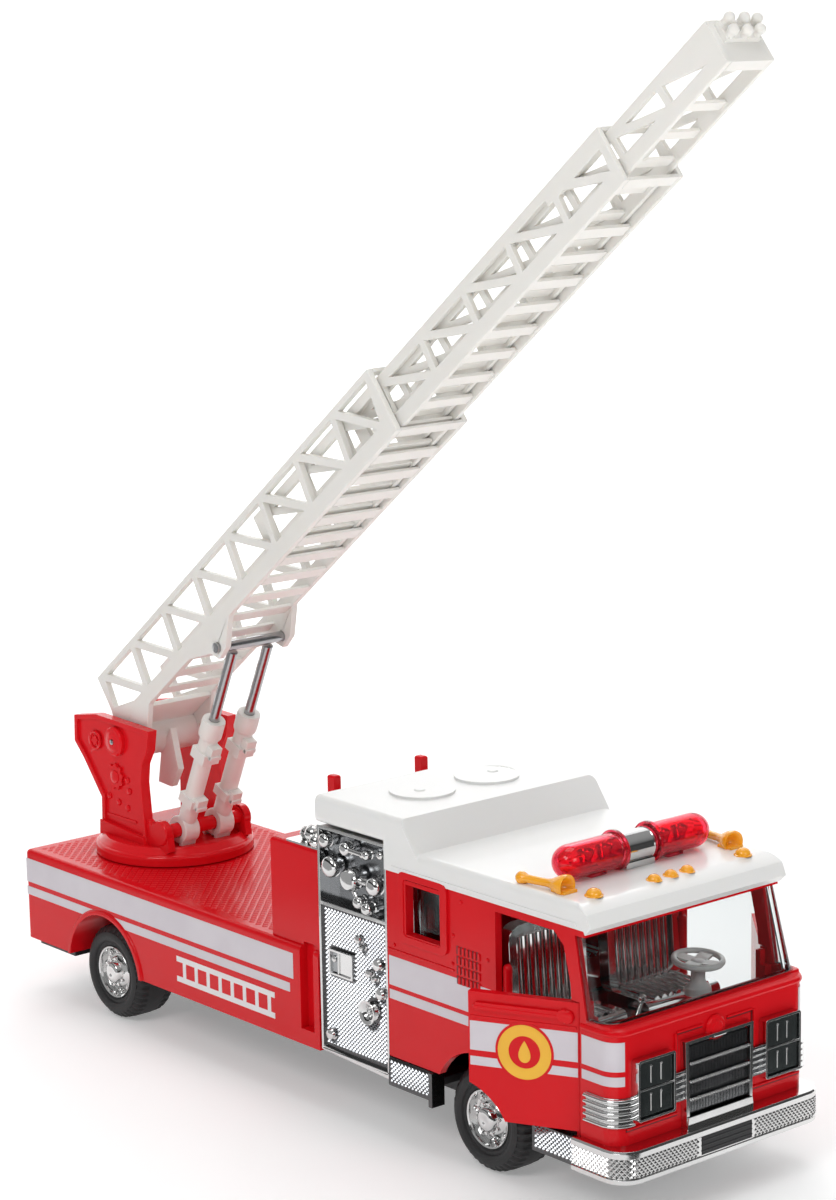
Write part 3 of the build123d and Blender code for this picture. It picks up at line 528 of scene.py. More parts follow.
trim = MB()
for s in (-1, 1):
    y0, y1 = sorted((s * 25.1, s * 25.42))
    # drip moulding and lower panel line on the crew side
    trim.box(97.3, 116.8, y0, y1, 38.5, 38.95)
    trim.frame_prism(rounded(101.0, 115.3, 41.0, 55.2, 1.7), rounded(102.6, 113.7, 42.5, 53.8, 0.9), "y", *sorted((s * 25.05, s * 25.75)))
    for rx, rz in ((99.2, 39.8), (116.6, 45.6), (116.4, 40.0), (119.0, 52.6), (126.4, 43.0)):
        trim.lathe((rx, s * 25.15, rz), (0, s, 0), [(0.42, 0), (0.42, 0.22), (0.2, 0.36), (0, 0.38)], 12)
# moulded rim below the windshield, swept round the front corners
def plan(off, x_front, hw, r, n=8, x_rear=151.6):
    pts = [(x_rear, -hw - off)]
    for k in range(n + 1):
        t = math.radians(-90 + 90 * k / n)
        pts.append((x_front - r + (r + off) * math.cos(t), -hw + r + (r + off) * math.sin(t)))
    pts += [(x, -y) for x, y in reversed(pts)]
    return pts


def sweep(mb, prof, x_front, hw, r, x_rear=151.6, n=8, closed=True):
    # prof: (offset outwards, z)
    rows = [plan(o_, x_front, hw, r, n, x_rear) for o_, z in prof]
    m, k = len(rows[0]), len(prof)
    vs = [(x, y, prof[j][1]) for j in range(k) for x, y in rows[j]]
    fs = []
    for j in range(k if closed else k - 1):
        j2 = (j + 1) % k
        for i in range(m - 1):
            fs.append((j * m + i, j * m + i + 1, j2 * m + i + 1, j2 * m + i))
    if closed:
        fs += [tuple(j * m for j in range(k)), tuple(j * m + m - 1 for j in reversed(range(k)))]
    mb.add(vs, fs)


sweep(trim, [(-0.4, 35.9), (0.28, 36.05), (0.45, 36.5), (0.28, 37.0), (-0.4, 37.3)], 160.5, 25.2, 3.6)
make("cab_mouldings", trim, "red", "truck", bevel=0.1, smooth=50)

# front corner stripes follow the rounded corner
cs = MB()
for z0, z1 in ((29.5, 35.0), (26.7, 28.5)):
    for s in (-1, 1):
        pts = plan(0.03, 160.5, 25.2, 3.6, 10, 151.8)[:10]
        pts2 = plan(0.10, 160.5, 25.2, 3.6, 10, 151.8)[:10]
        vs, fs = [], []
        for (xa, ya), (xb, yb_) in zip(pts, pts2):
            for x, y in ((xa, ya), (xb, yb_)):
                vs += [(x, -s * y, z0), (x, -s * y, z1)]
        for i in range(len(pts) - 1):
            a, b = 4 * i, 4 * (i + 1)
            fs += [(a + 2, b + 2, b + 3, a + 3), (a, a + 1, b + 1, b), (a, b, b + 2, a + 2), (a + 1, a + 3, b + 3, b + 1)]
        k = len(pts) - 1
        fs += [(0, 2, 3, 1), (4 * k, 4 * k + 1, 4 * k + 3, 4 * k + 2)]
        cs.add(vs, fs)
make("corner_stripes", cs, "stripe", "truck", smooth=50)

# front panel lines
pl, pr_ = MB(), MB()
for s in (-1, 1):
    y0, y1 = sorted((s * 9.7, s * 22.6))
    pl.box(160.4, 160.62, y0, y1, 18.0, 18.35)
    pr_.box(160.4, 160.95, y0, y1, 18.35, 18.75)
    y0, y1 = sorted((s * 9.6, s * 10.0))
    pl.box(160.4, 160.62, y0, y1, 26.8, 33.6)
    y0, y1 = sorted((s * 10.0, s * 10.5))
    pr_.box(160.4, 161.0, y0, y1, 26.6, 33.8)
    y0, y1 = sorted((s * 3.2, s * 9.9))
    pl.box(160.4, 160.62, y0, y1, 33.35, 33.7)
    pr_.box(160.4, 160.9, y0, y1, 33.7, 34.05)
pr_.lathe((160.4, 0, 32.6), (1, 0, 0), [(2.5, 0), (2.5, 0.55), (2.1, 0.85), (1.5, 0.85), (1.2, 1.15), (0, 1.2)], 28)
make("front_panel_ridges", pr_, "red", "truck", bevel=0.1)
# the panel gaps are painted shade: dark red lines beside the ridges
make("front_panel_gaps", pl, "painted_shade_red", "truck")

# ------------------------------------------------------------------ doors: stripes, badge and handle, drawn closed and swung
for name, s in (("right", -1), ("left", 1)):
    ang = -s * math.radians(42.0 if s > 0 else 27.0)
    H = Vector((150.1, s * 24.35, 0))
    R = Matrix.Rotation(ang, 3, "Z")

    def swing(p, H=H, R=R):
        return R @ (p - H) + H
    a = MB()
    strip(a, 129.2, 150.2, 29.3, 34.9, 25.19, s=s)
    strip(a, 129.2, 150.2, 26.4, 28.1, 25.19, s=s)
    a.move(swing)
    make(f"door_stripes_{name}", a, "stripe", f"door_{name}", smooth=20)
    hb = MB()
    hb.lathe((148.3, s * 25.1, 37.75), (0, s, 0), [(1.35, 0), (1.35, 0.45), (1.1, 0.85), (0.5, 1.0), (0, 1.02)], 28)
    hb.cyl((130.0, s * 25.35, 37.9), (147.6, s * 25.35, 37.8), 0.62, 16, c=0.2)
    hb.box(129.2, 150.0, *sorted((s * 25.1, s * 25.38)), 35.5, 36.0)
    hb.move(swing)
    make(f"door_handle_{name}", hb, "red", f"door_{name}", bevel=0.06, smooth=50)
    g, rd, wt = MB(), MB(), MB()
    c = (139.9, s * 25.1, 30.0)
    d = (0, s, 0)
    rd.lathe(c, d, [(5.7, 0), (5.7, 0.20), (0, 0.20)], 64)
    g.lathe(c, d, [(5.2, 0.1), (5.2, 0.27), (3.1, 0.27), (3.1, 0.1)], 64)
    # water-drop pictogram in the middle
    pts = []
    for k in range(33):
        t = 2 * math.pi * k / 33
        r = 1.55
        x = r * math.sin(t) * (math.sin(t / 2) ** 1.1)
        z = r * math.cos(t) * 1.35
        pts.append((c[0] + x, c[2] + 0.1 + z))
    wt.prism(pts, "y", *(sorted((s * 25.25, s * 25.40)) if s > 0 else sorted((s * 25.25, s * 25.40))))
    for mb in (g, rd, wt):
        mb.move(swing)
    make(f"door_roundel_base_{name}", rd, "red", f"door_{name}", smooth=30)
    make(f"door_roundel_ring_{name}", g, "gold", f"door_{name}", smooth=30)
    make(f"door_roundel_drop_{name}", wt, "gold", f"door_{name}", smooth=30)

# ------------------------------------------------------------------ roof details
rf = MB()
for cx_, cy_ in ((88.8, -9.4), (87.4, 11.2)):
    c = (cx_, cy_, 65.42)
    rf.torus(c, (0, 0, 1), 4.7, 0.42, 56, 8)
    rf.torus(c, (0, 0, 1), 2.9, 0.30, 48, 8)
    rf.lathe((cx_, cy_, 65.3), (0, 0, 1), [(1.2, 0), (1.2, 0.5), (0.9, 0.75), (0, 0.8)], 24)
    for k in range(12):
        t = math.radians(30 * k)
        u = Vector((math.cos(t), math.sin(t), 0))
        rf.obox(Vector(c) + u * 3.1 + Vector((0, 0, 0.05)), u, u.cross(Vector((0, 0, 1))), (0, 0, 1), 1.5, 0.24, 0.24)
for s in (-1, 1):
    rf.box(99.0, 151.0, *sorted((s * 25.3, s * 25.7)), 55.0, 55.7)
    rf.lathe((117.0, s * 25.2, 56.2), (0, s, 0), [(0.5, 0), (0.5, 0.25), (0, 0.35)], 12)
make("roof_mouldings", rf, "white", "truck", bevel=0.1, smooth=50)

# ------------------------------------------------------------------ light bar
LX, LZ = 139.0, 62.75
for name, s in (("right", -1), ("left", 1)):
    mb = MB()
    out = [(2.55, 4.15), (3.85, 4.0), (3.95, 4.35), (3.9, 4.85), (3.4, 5.05), (3.32, 5.6)]
    out += [(3.35, 6.5), (3.35, 15.9)]
    for k in range(1, 13):
        t = math.radians(90 * k / 12)
        out.append((3.35 * math.cos(t) if k < 12 else 0, 15.9 + 3.42 * math.sin(t)))
    inn = []
    for k in range(12, -1, -1):
        t = math.radians(90 * k / 12)
        inn.append((2.6 * math.cos(t) if k < 12 else 0, 15.5 + 2.6 * math.sin(t)))
    inn += [(2.6, 5.4), (2.55, 4.15)]
    mb.lathe((LX, 0, LZ), (0, s, 0), out, 56)
    mb.lathe((LX, 0, LZ), (0, s, 0), inn, 56)
    mb.move(lambda p: Vector((p.x, p.y, max(p.z, 59.35))))
    # fluting inside the round end and a small foot
    for k in range(10):
        t = math.radians(36 * k)
        mb.cyl((LX + 2.5 * math.cos(t), s * 14.4, LZ + 2.5 * math.sin(t)), (LX + 1.5 * math.cos(t), s * 17.2, LZ + 1.5 * math.sin(t)), 0.16, 6)
    mb.box(LX - 1.6, LX + 1.6, *sorted((s * 8.0, s * 12.0)), 59.2, 60.0)
    make(f"lightbar_capsule_{name}", mb, "red_lens", "truck", smooth=60, replaces=(f"lightbar_lens_{name}",))
cb = MB()
cb.lathe((LX, -4.0, LZ), (0, 1, 0), [(0, 0.05), (3.05, 0.05), (3.15, 0.2), (3.15, 0.9), (3.02, 1.0), (3.02, 7.0), (3.15, 7.1), (3.15, 7.8), (3.05, 7.95), (0, 7.95)], 56)
cb.move(lambda p: Vector((p.x, p.y, max(p.z, 59.6))))
cb.box(LX - 2.4, LX + 2.4, -3.7, 3.7, 59.2, 60.4)
make("lightbar_bridge", cb, "chrome", "truck", smooth=40, replaces=("lightbar_centre",))
rfl = MB()
for s in (-1, 1):
    for y in (7.6, 12.2):
        rfl.lathe((LX, s * y, 60.6), (0, 0, 1), [(0.5, 0), (0.7, 0.6), (1.7, 3.4), (1.75, 3.7), (1.5, 3.6), (0.6, 1.0), (0, 0.8)], 20)
        rfl.ball((LX, s * y, 62.6), 0.7, 14, 8)
make("lightbar_reflectors", rfl, "chrome", "truck", smooth=40)

# ------------------------------------------------------------------ horns and marker lamps
hn, hs = MB(), MB()
for s in (-1, 1):
    ya, yb2 = s * 23.2, s * 21.6
    p, q = Vector((133.7, ya, 60.15)), Vector((144.8, yb2, 60.35))
    d = (q - p).normalized()
    hn.lathe(p, d, [(0, -1.0), (0.7, -0.85), (1.15, -0.3), (1.25, 0.3), (1.05, 0.95), (0.8, 1.4), (0.78, 6.2), (0.95, 7.2), (1.5, 8.4), (2.05, 9.6), (2.25, 10.6), (2.2, 11.0), (1.9, 10.9), (1.2, 10.2), (0.6, 9.4), (0, 9.3)], 32)
    hn.box(141.8, 145.4, *sorted((s * 20.0, s * 23.3)), 59.22, 59.75)
    hn.lathe((149.1, s * 19.4, 59.15), (0, 0, 1), [(1.75, 0), (1.75, 0.22), (1.5, 0.3), (1.42, 0.7), (1.1, 1.15), (0.6, 1.42), (0, 1.5)], 28)
for y in (-4.4, -0.1, 4.2):
    hn.lathe((149.4, y, 59.05), (0.1, 0, 1), [(1.55, 0), (1.55, 0.2), (1.3, 0.3), (1.22, 0.6), (0.9, 1.0), (0.5, 1.2), (0, 1.26)], 28)
hn.move(lambda v: Vector((v.x, v.y, max(v.z, 59.1))))
make("roof_horns_and_lamps", hn, "amber", "truck", smooth=45, replaces=("air_horns", "marker_lights"))

# ------------------------------------------------------------------ windshield
ws = MB()
rows = []
for k in range(9):
    f = k / 8
    z = 37.85 + (53.15 - 37.85) * f
    xf = 158.62 + (152.85 - 158.62) * f
    r = 4.0 + (2.3 - 4.0) * f
    xr = 153.2 + (150.35 - 153.2) * f
    rows.append((z, xf, r, xr))


def glass_ring(off):
    out = []
    for z, xf, r, xr in rows:
        out.append([(x, y, z) for x, y in plan(off, xf, 24.95, r, 10, xr)])
    return out


A, B = glass_ring(0.0), glass_ring(-1.0)
m = len(A[0])
vs = [p for row in A for p in row] + [p for row in B for p in row]
off = len(A) * m
fs = []
for j in range(len(A) - 1):
    for i in range(m - 1):
        a = j * m + i
        fs.append((a, a + 1, a + m + 1, a + m))
        fs.append((off + a, off + a + m, off + a + m + 1, off + a + 1))
for i in range(m - 1):
    fs.append((i, off + i, off + i + 1, i + 1))
    t = (len(A) - 1) * m + i
    fs.append((t, t + 1, off + t + 1, off + t))
for j in range(len(A) - 1):
    fs.append((j * m, (j + 1) * m, off + (j + 1) * m, off + j * m))
    e = j * m + m - 1
    fs.append((e, off + e, off + e + m, e + m))
ws.add(vs, fs)
make("windshield_moulding", ws, "clear", "truck", bevel=0.25, seg=3, smooth=40, replaces=("windshield",))
rim = MB()
sweep(rim, [(0.0, 37.35), (0.25, 37.5), (0.28, 38.0), (-0.1, 38.2), (-0.9, 38.2), (-0.9, 37.35)], 158.7, 24.95, 4.0, x_rear=153.0, n=10)
make("windshield_rim", rim, "clear", "truck", smooth=40)

# ------------------------------------------------------------------ interior
it = MB()
it.box(98.9, 157.0, -21.5, 21.5, 23.2, 24.4)
for s in (-1, 1):
    ya, yc = sorted((s * 2.8, s * 22.2))
    for x0, xb, zt in ((128.2, 131.0, 49.2), (100.2, 100.6, 49.6)):
        # seat back frame
        o_ = rounded(ya, yc, 30.0, zt, 3.2)
        i_ = rounded(ya + 1.9, yc - 1.9, 32.2, zt - 2.2, 1.9)
        mbf = MB()
        mbf.frame_prism(o_, i_, "x", x0 - 0.8, x0 + 1.9)
        mbf.prism(rounded(ya + 0.8, yc - 0.8, 30.6, zt - 0.8, 2.2), "x", x0 - 0.6, x0 + 0.4)
        nfl = 8
        w = (yc - ya - 4.2) / nfl
        for k in range(nfl):
            y = ya + 2.1 + w * (k + 0.5)
            mbf.cyl((x0 + 0.5, y, 31.6), (x0 + 0.5, y, zt - 2.6), w * 0.42, 12)
        sh = 1.3 / 18.0
        mbf.move(lambda p, x0=x0, sh=sh: Vector((p.x - (p.z - 31) * sh, p.y, p.z)))
        it.add(mbf.v, mbf.f)
        # seat cushion with flutes
        it.prism(rounded(x0 + 1.0, x0 + 12.4, 24.4, 31.6, 1.4), "y", ya, yc)
        for k in range(nfl):
            y = ya + 2.1 + w * (k + 0.5)
            it.cyl((x0 + 2.0, y, 31.5), (x0 + 11.6, y, 31.5), w * 0.40, 10)
# dashboard with instrument hood
it.prism([(151.2, 24.4), (151.2, 31.5), (152.6, 34.8), (156.4, 35.6), (157.8, 35.2), (157.8, 24.4)], "y", -21.3, 21.3)
for k in range(14):
    y = -19.5 + 3.0 * k
    it.cyl((153.0, y, 35.2), (156.6, y, 35.6), 0.35, 8)
it.prism(rounded(133.5, 150.0, -2.2, 2.2, 1.0), "z", 24.4, 29.6)
it.cyl((140, 0, 29.5), (141.5, 0, 33.0), 0.5, 12)
it.ball((141.5, 0, 33.4), 0.95, 14, 8)
make("cab_fittings", it, "chrome", "truck", bevel=0.12, smooth=45, replaces=("interior",))
inner = MB()
inner.prism(rounded(98.9, 128.4, -22.6, 22.6, 0.5), "z", 22.6, 23.1)
for s in (-1, 1):
    ya, yc = sorted((s * 22.4, s * 23.55))
    inner.cyl((129.5, s * 23.0, 24.4), (129.5, s * 23.0, 41.6), 0.9, 16)
    inner.ball((129.5, s * 23.0, 41.6), 0.9, 16, 8)
make("cab_floor_and_catches", inner, "red", "truck", smooth=45)

sw = MB()
q = Matrix.Rotation(math.radians(5), 3, "Y")
sw.lathe((0, 0, 0), (0, 0, 1), [(4.1, -0.35), (4.9, -0.6), (5.2, -0.1), (5.1, 0.45), (4.7, 0.62), (4.2, 0.5), (4.0, 0.1)], 64, close=True)
sw.lathe((0, 0, -0.9), (0, 0, 1), [(0, 0), (1.5, 0), (1.65, 0.3), (1.4, 0.75), (0.8, 0.9), (0, 0.92)], 28)
for k in range(4):
    t = math.radians(20 + 90 * k)
    u = Vector((math.cos(t), math.sin(t), 0.10)).normalized()
    v_ = Vector((0, 0, 1)).cross(u).normalized()
    sw.obox(u * 2.8 + Vector((0, 0, -0.5)), u, v_, u.cross(v_), 1.7, 1.35, 0.24)
sw.move(lambda p: q @ p + Vector((147.0, 9.5, 40.3)))
sw.lathe((147.0, 9.5, 33.6), (0, 0, 1), [(2.6, 0), (2.5, 1.4), (1.7, 2.2), (1.4, 2.8), (1.35, 6.3), (0, 6.4)], 28)
make("steering_wheel_moulding", sw, "white", "truck", bevel=0.08, smooth=50, replaces=("steering_wheel",))

# ------------------------------------------------------------------ grille
gr, gd, gs = MB(), MB(), MB()
gr.frame_prism([(-8.6, 15.6), (8.6, 15.6), (8.9, 32.1), (-8.9, 32.1)], [(-7.9, 17.6), (7.9, 17.6), (8.15, 31.5), (-8.15, 31.5)], "x", 160.5, 162.0)
gr.prism([(-8.7, 15.4), (8.7, 15.4), (8.4, 17.6), (-8.4, 17.6)], "x", 160.6, 162.3)
for k in range(4):
    z0 = 17.7 + k * 3.45
    for j in range(40):
        y = -7.75 + 15.5 * j / 39
        gs.box(160.9, 161.35, y - 0.10, y + 0.10, z0, z0 + 2.75)
    if k:
        gr.box(160.8, 162.0, -7.6, 7.6, z0 - 0.72, z0 - 0.1)
        for j in range(26):
            gr.ball((161.95, -7.6 + 15.2 * j / 25, z0 - 0.3), 0.27, 8, 6)
gd.box(160.55, 160.95, -7.7, 7.7, 17.3, 31.4)
gr.cyl((161.6, -1.6, 31.6), (161.6, 1.6, 31.6), 0.5, 12)
make("grille_moulding", gr, "chrome", "truck", bevel=0.08, smooth=40, replaces=("grille",))
# the slats use the darkened plating, painted shade
make("grille_slats", gs, "chrome_painted_shade", "truck", smooth=20)
make("grille_backing", gd, "black", "truck")

# ------------------------------------------------------------------ headlight bezels, links and corner ribs
bz, bl, dk = MB(), MB(), MB()
for s in (-1, 1):
    ya, yc = sorted((s * 11.8, s * 21.3))
    bz.frame_prism(rounded(ya, yc, 19.9, 31.5, 0.6), rounded(ya + 0.42, yc - 0.42, 20.35, 31.05, 0.3), "x", 160.5, 162.45)
    bz.box(160.5, 162.2, ya + 0.3, yc - 0.3, 25.5, 25.85)
    bl.box(160.5, 161.5, ya + 0.5, yc - 0.5, 20.3, 31.1)
    for z0, z1 in ((20.8, 25.3), (26.1, 30.6)):
        bl.prism(rounded(ya + 0.55, yc - 0.55, z0 - 0.2, z1 + 0.1, 0.3), "x", 161.3, 162.0)
        for k in (1, 2):
            y = ya + 0.9 + (yc - ya - 1.8) * k / 3
            bz.cyl((162.0, y, z0 + 0.6), (162.0, y, z1 - 0.6), 0.16, 8)
            bz.ball((162.05, y, z1 - 0.7), 0.26, 8, 6)
    yl, yr = sorted((s * 8.7, s * 12.0))
    dk.box(160.5, 161.45, yl, yr, 20.9, 26.5)
    for k in range(5):
        z = 21.4 + 1.13 * k
        bz.cyl((161.5, s * 8.8, z), (161.5, s * 11.9, z), 0.2, 8)
make("headlight_frames", bz, "chrome", "truck", bevel=0.1, smooth=40, replaces=("headlight_bezels",))
make("headlight_glasses", bl, "dark_lens", "truck", bevel=0.12, smooth=40, replaces=("headlight_lenses",))
# the links use the darkened plating, painted shade
make("grille_links", dk, "chrome_painted_shade", "truck", bevel=0.1)


def half_sweep(mb, prof, x_front, hw, r, x_rear, y_stop, s, n=10, closed=True):
    base = plan(0, x_front, hw, r, n, x_rear)
    half = len(base) // 2
    rows = []
    for o_, z in prof:
        pts = plan(o_, x_front, hw, r, n, x_rear)[:half]
        pts.append((x_front + o_, -y_stop))
        rows.append([(x, -s * y * 1.0 if s > 0 else y, z) for x, y in pts])
    m, k = len(rows[0]), len(prof)
    vs = [p for row in rows for p in row]
    fs = []
    for j in range(k):
        j2 = (j + 1) % k
        for i in range(m - 1):
            fs.append((j * m + i, j * m + i + 1, j2 * m + i + 1, j2 * m + i))
    fs += [tuple(j * m for j in range(k)), tuple(j * m + m - 1 for j in reversed(range(k)))]
    mb.add(vs, fs)


rb = MB()
for s in (-1, 1):
    half_sweep(rb, [(-0.3, 18.7), (0.25, 18.8), (0.25, 24.5), (-0.3, 24.6)], 160.5, 25.2, 3.6, 153.0, 21.1, s)
    for k in range(5):
        z = 19.3 + 1.17 * k
        half_sweep(rb, [(0.2, z - 0.42), (0.62, z - 0.34), (0.86, z - 0.12), (0.86, z + 0.12), (0.62, z + 0.34), (0.2, z + 0.42)], 160.5, 25.2, 3.6, 152.8, 21.1, s)
make("corner_ribs", rb, "chrome", "truck", smooth=50)

# ------------------------------------------------------------------ front bumper
bp = MB()
prof = [(-1.6, 9.3), (-0.1, 9.2), (0.0, 9.35), (0.0, 10.15), (-0.25, 10.3), (-0.28, 13.9), (0.0, 14.1), (0.0, 15.1), (-0.3, 15.45), (-1.2, 15.5), (-3.6, 15.45), (-3.6, 15.1), (-1.7, 14.8)]
sweep(bp, prof, 164.05, 26.9, 5.0, x_rear=150.4, n=12)
bp.box(161.2, 163.85, -6.9, 6.9, 10.0, 10.5)
bp.box(161.2, 163.85, -6.9, 6.9, 13.95, 14.3)
make("bumper_moulding", bp, "chrome", "truck", bevel=0.06, smooth=35, replaces=("front_bumper",))
bd = MB()
pp = plan(-0.27, 164.05, 26.9, 5.0, 12, 150.4)
# walk the face and set rows of studs on it
seg = [(Vector((a[0], a[1], 0)), Vector((b[0], b[1], 0))) for a, b in zip(pp[:-1], pp[1:])]
tot = sum((b - a).length for a, b in seg)
cells, w0 = int(tot / 0.98), tot / int(tot / 0.98)
for j in range(7):
    z = 10.55 + 0.52 * j
    for i in range(cells):
        t = (i + (0.5 if j % 2 else 0.0) + 0.25) * w0
        for a, b in seg:
            l = (b - a).length
            if t <= l:
                break
            t -= l
        c = a + (b - a).normalized() * min(t, l)
        if abs(c.y) < 7.2 and c.x > 163:
            continue
        u = (b - a).normalized()
        w = Vector((u.y, -u.x, 0))
        if w.dot(Vector((c.x - 150, c.y, 0))) < 0:
            w = -w
        c.z = z
        q4 = [c + u * 0.44, c + Vector((0, 0, 0.46)), c - u * 0.44, c - Vector((0, 0, 0.46))]
        t4 = [c + (x - c) * 0.12 + w * 0.26 for x in q4]
        bd.add(q4 + t4, [(0, 1, 5, 4), (1, 2, 6, 5), (2, 3, 7, 6), (3, 0, 4, 7), (4, 5, 6, 7)])
make("bumper_diamond_plate", bd, "chrome", "truck", smooth=20)
bi = MB()
bi.box(161.9, 163.90, -6.6, 6.6, 10.5, 13.9)
for k in range(3):
    bi.box(162.8, 164.0, -6.6, 6.6, 11.0 + k, 11.35 + k)
make("bumper_slot", bi, "black", "truck", bevel=0.1, replaces=("bumper_insert",))
sl = MB()
for s in (-1, 1):
    sl.box(138.9, 150.6, *sorted((s * 24.4, s * 25.9)), 9.5, 15.0)
# the sills use the darkest plating, painted shade
make("front_sills", sl, "plate_painted_shade", "truck", bevel=0.08, smooth=20)

# ------------------------------------------------------------------ running boards
rn, st = MB(), MB()
for s in (-1, 1):
    rn.prism([(s * 24.4, 11.1), (s * 25.6, 10.9), (s * 25.75, 11.3), (s * 25.6, 16.2), (s * 25.3, 16.7), (s * 21.5, 16.7), (s * 21.5, 16.1), (s * 24.4, 16.0)], "x", 97.2, 110.1)
    st.lozenges((97.4, s * 25.66, 11.2), (1, 0, 0), (0, 0, 1), (0, s, 0), 12.6, 5.3, 1.05, 0.95, 0.28, tip=0.12)
    rn.box(109.2, 110.3, *sorted((s * 22.5, s * 25.8)), 9.6, 16.6)
    st.lozenges((139.1, s * 25.88, 9.7), (1, 0, 0), (0, 0, 1), (0, s, 0), 11.4, 5.2, 1.05, 0.95, 0.28, tip=0.12)
# running boards in the darkest plating and their studs in the darkened plating, both painted shade
make("running_board_mouldings", rn, "plate_painted_shade", "truck", bevel=0.1, smooth=20, replaces=("running_boards",))
make("tread_plate_studs", st, "chrome_painted_shade", "truck", smooth=20)

# ------------------------------------------------------------------ pump panels
pp_, pd, pk, pb = MB(), MB(), MB(), MB()
for s in (-1, 1):
    Y = lambda a, b: sorted((s * a, s * b))
    pp_.frame_prism([(75.9, 12.8), (97.1, 11.8), (97.1, 59.3), (75.9, 59.3)], [(76.5, 13.7), (96.5, 12.7), (96.5, 58.7), (76.5, 58.7)], "y", *Y(22.6, 25.35))
    pb.prism([(76.2, 13.3), (96.8, 12.3), (96.8, 43.0), (76.2, 43.0)], "y", *Y(22.6, 24.75))
    pp_.box(76.4, 96.6, *Y(22.6, 25.0), 42.9, 43.7)          # dividing ridge
    # the recess back wall is a sheet of darkened plating, painted shade
    pk.box(76.4, 96.6, *Y(22.5, 22.75), 43.6, 58.8)            # dark recess
    pd.lozenges((76.7, s * 24.74, 13.8), (1, 0, 0), (0, 0, 1), (0, s, 0), 19.6, 29.0, 0.98, 0.92, 0.30, tip=0.10, keep=lambda c: not (78.7 < c.x < 86.7 and 28.9 < c.z < 34.9) and (c.x - 92.0) ** 2 + (c.z - 24.6) ** 2 > 2.6 ** 2)
    # small instrument box
    pp_.frame_prism(rounded(79.0, 86.4, 29.3, 34.6, 0.3), rounded(79.5, 85.9, 29.8, 34.1, 0.2), "y", *Y(24.6, 25.6))
    pp_.box(81.7, 82.1, *Y(24.6, 25.5), 29.6, 34.3)
    pk.box(79.3, 81.8, *Y(24.6, 25.15), 29.6, 34.3)
    pp_.box(82.0, 86.1, *Y(24.6, 25.2), 29.6, 34.3)
    pp_.lathe((80.5, s * 25.1, 32.6), (0, s, 0), [(0.7, 0), (0.7, 0.35), (0.3, 0.5), (0, 0.5)], 14)
    # lower step ledge
    pp_.box(76.4, 96.9, *Y(24.4, 25.6), 12.9, 13.3)
make("pump_panel_plates", pp_, "chrome", "truck", bevel=0.12, smooth=35, replaces=("pump_panel_right", "pump_panel_left"))
# diamond plate, back plate and recess use darkened plating: painted shade
make("pump_diamond_plate", pd, "chrome_painted_shade", "truck", smooth=20)
make("pump_panel_back", pb, "plate_painted_shade", "truck", bevel=0.06)
make("pump_recess", pk, "chrome_painted_shade", "truck")
pf = MB()
for s in (-1, 1):
    d = (0, s, 0)

    def valve(x, z, r, l, y=23.1, s=s, d=d):
        pf.lathe((x, s * y, z), d, [(r * 0.7, 0), (r * 0.7, l * 0.35), (r, l * 0.4), (r, l * 0.62), (r * 0.82, l * 0.68), (r * 0.82, l * 0.85), (r * 0.55, l), (0, l)], 28)
    for x, z, r, l in ((77.9, 56.4, 1.5, 3.2), (84.6, 56.0, 1.45, 3.4), (79.4, 51.3, 2.2, 3.3), (86.4, 50.2, 2.3, 4.2), (93.4, 50.2, 1.9, 3.8), (88.6, 46.0, 1.3, 3.6), (91.6, 45.4, 1.3, 4.0), (90.6, 55.8, 1.0, 2.8), (94.8, 56.6, 0.9, 2.6)):
        pf.lathe((x, s * 22.7, z), d, [(r * 0.72, 0), (r * 0.72, l * 0.18), (r, l * 0.24), (r, l * 0.40), (r * 0.86, l * 0.44), (r * 0.86, l * 0.52), (r, l * 0.56), (r * 0.98, l * 0.78), (r * 0.8, l * 0.93), (r * 0.45, l), (0, l * 1.01)], 28)
    pf.cyl((84.6, s * 25.2, 56.0), (89.2, s * 24.6, 55.6), 0.55, 12)
    pf.ball((89.3, s * 24.6, 55.6), 0.75, 14, 8)
    pf.cyl((86.4, s * 24.4, 50.2), (93.4, s * 24.4, 50.2), 0.9, 14)
    pf.cyl((88.6, s * 25.2, 46.0), (86.2, s * 25.0, 48.8), 0.5, 12)
    # open bell on the plate, gauges and knobs
    pf.lathe((92.0, s * 24.6, 24.6), d, [(2.0, 0), (1.9, 0.6), (1.3, 1.0), (1.3, 1.3), (2.1, 1.9), (2.5, 2.15), (2.45, 2.3), (2.0, 2.15), (1.2, 1.5), (0.9, 1.0), (0, 0.95)], 36)
    pf.ball((92.0, s * 25.9, 24.6), 0.6, 12, 8)
    for x, z, r in ((88.9, 38.6, 0.9), (90.0, 37.2, 0.7), (94.6, 34.7, 1.25), (92.0, 32.4, 0.85), (93.6, 31.6, 0.7), (95.3, 28.9, 1.2), (79.6, 16.9, 1.2)):
        pf.lathe((x, s * 24.7, z), d, [(r, 0), (r, 0.5), (r * 0.7, 0.65), (r * 0.7, 0.9), (r, 1.1), (r * 0.85, 1.55), (r * 0.4, 1.75), (0, 1.78)], 20)
pf.move(lambda p: Vector((p.x, max(-26.8, min(26.8, p.y)), p.z)))
make("pump_valves", pf, "chrome", "truck", smooth=40, replaces=("pump_fittings",))

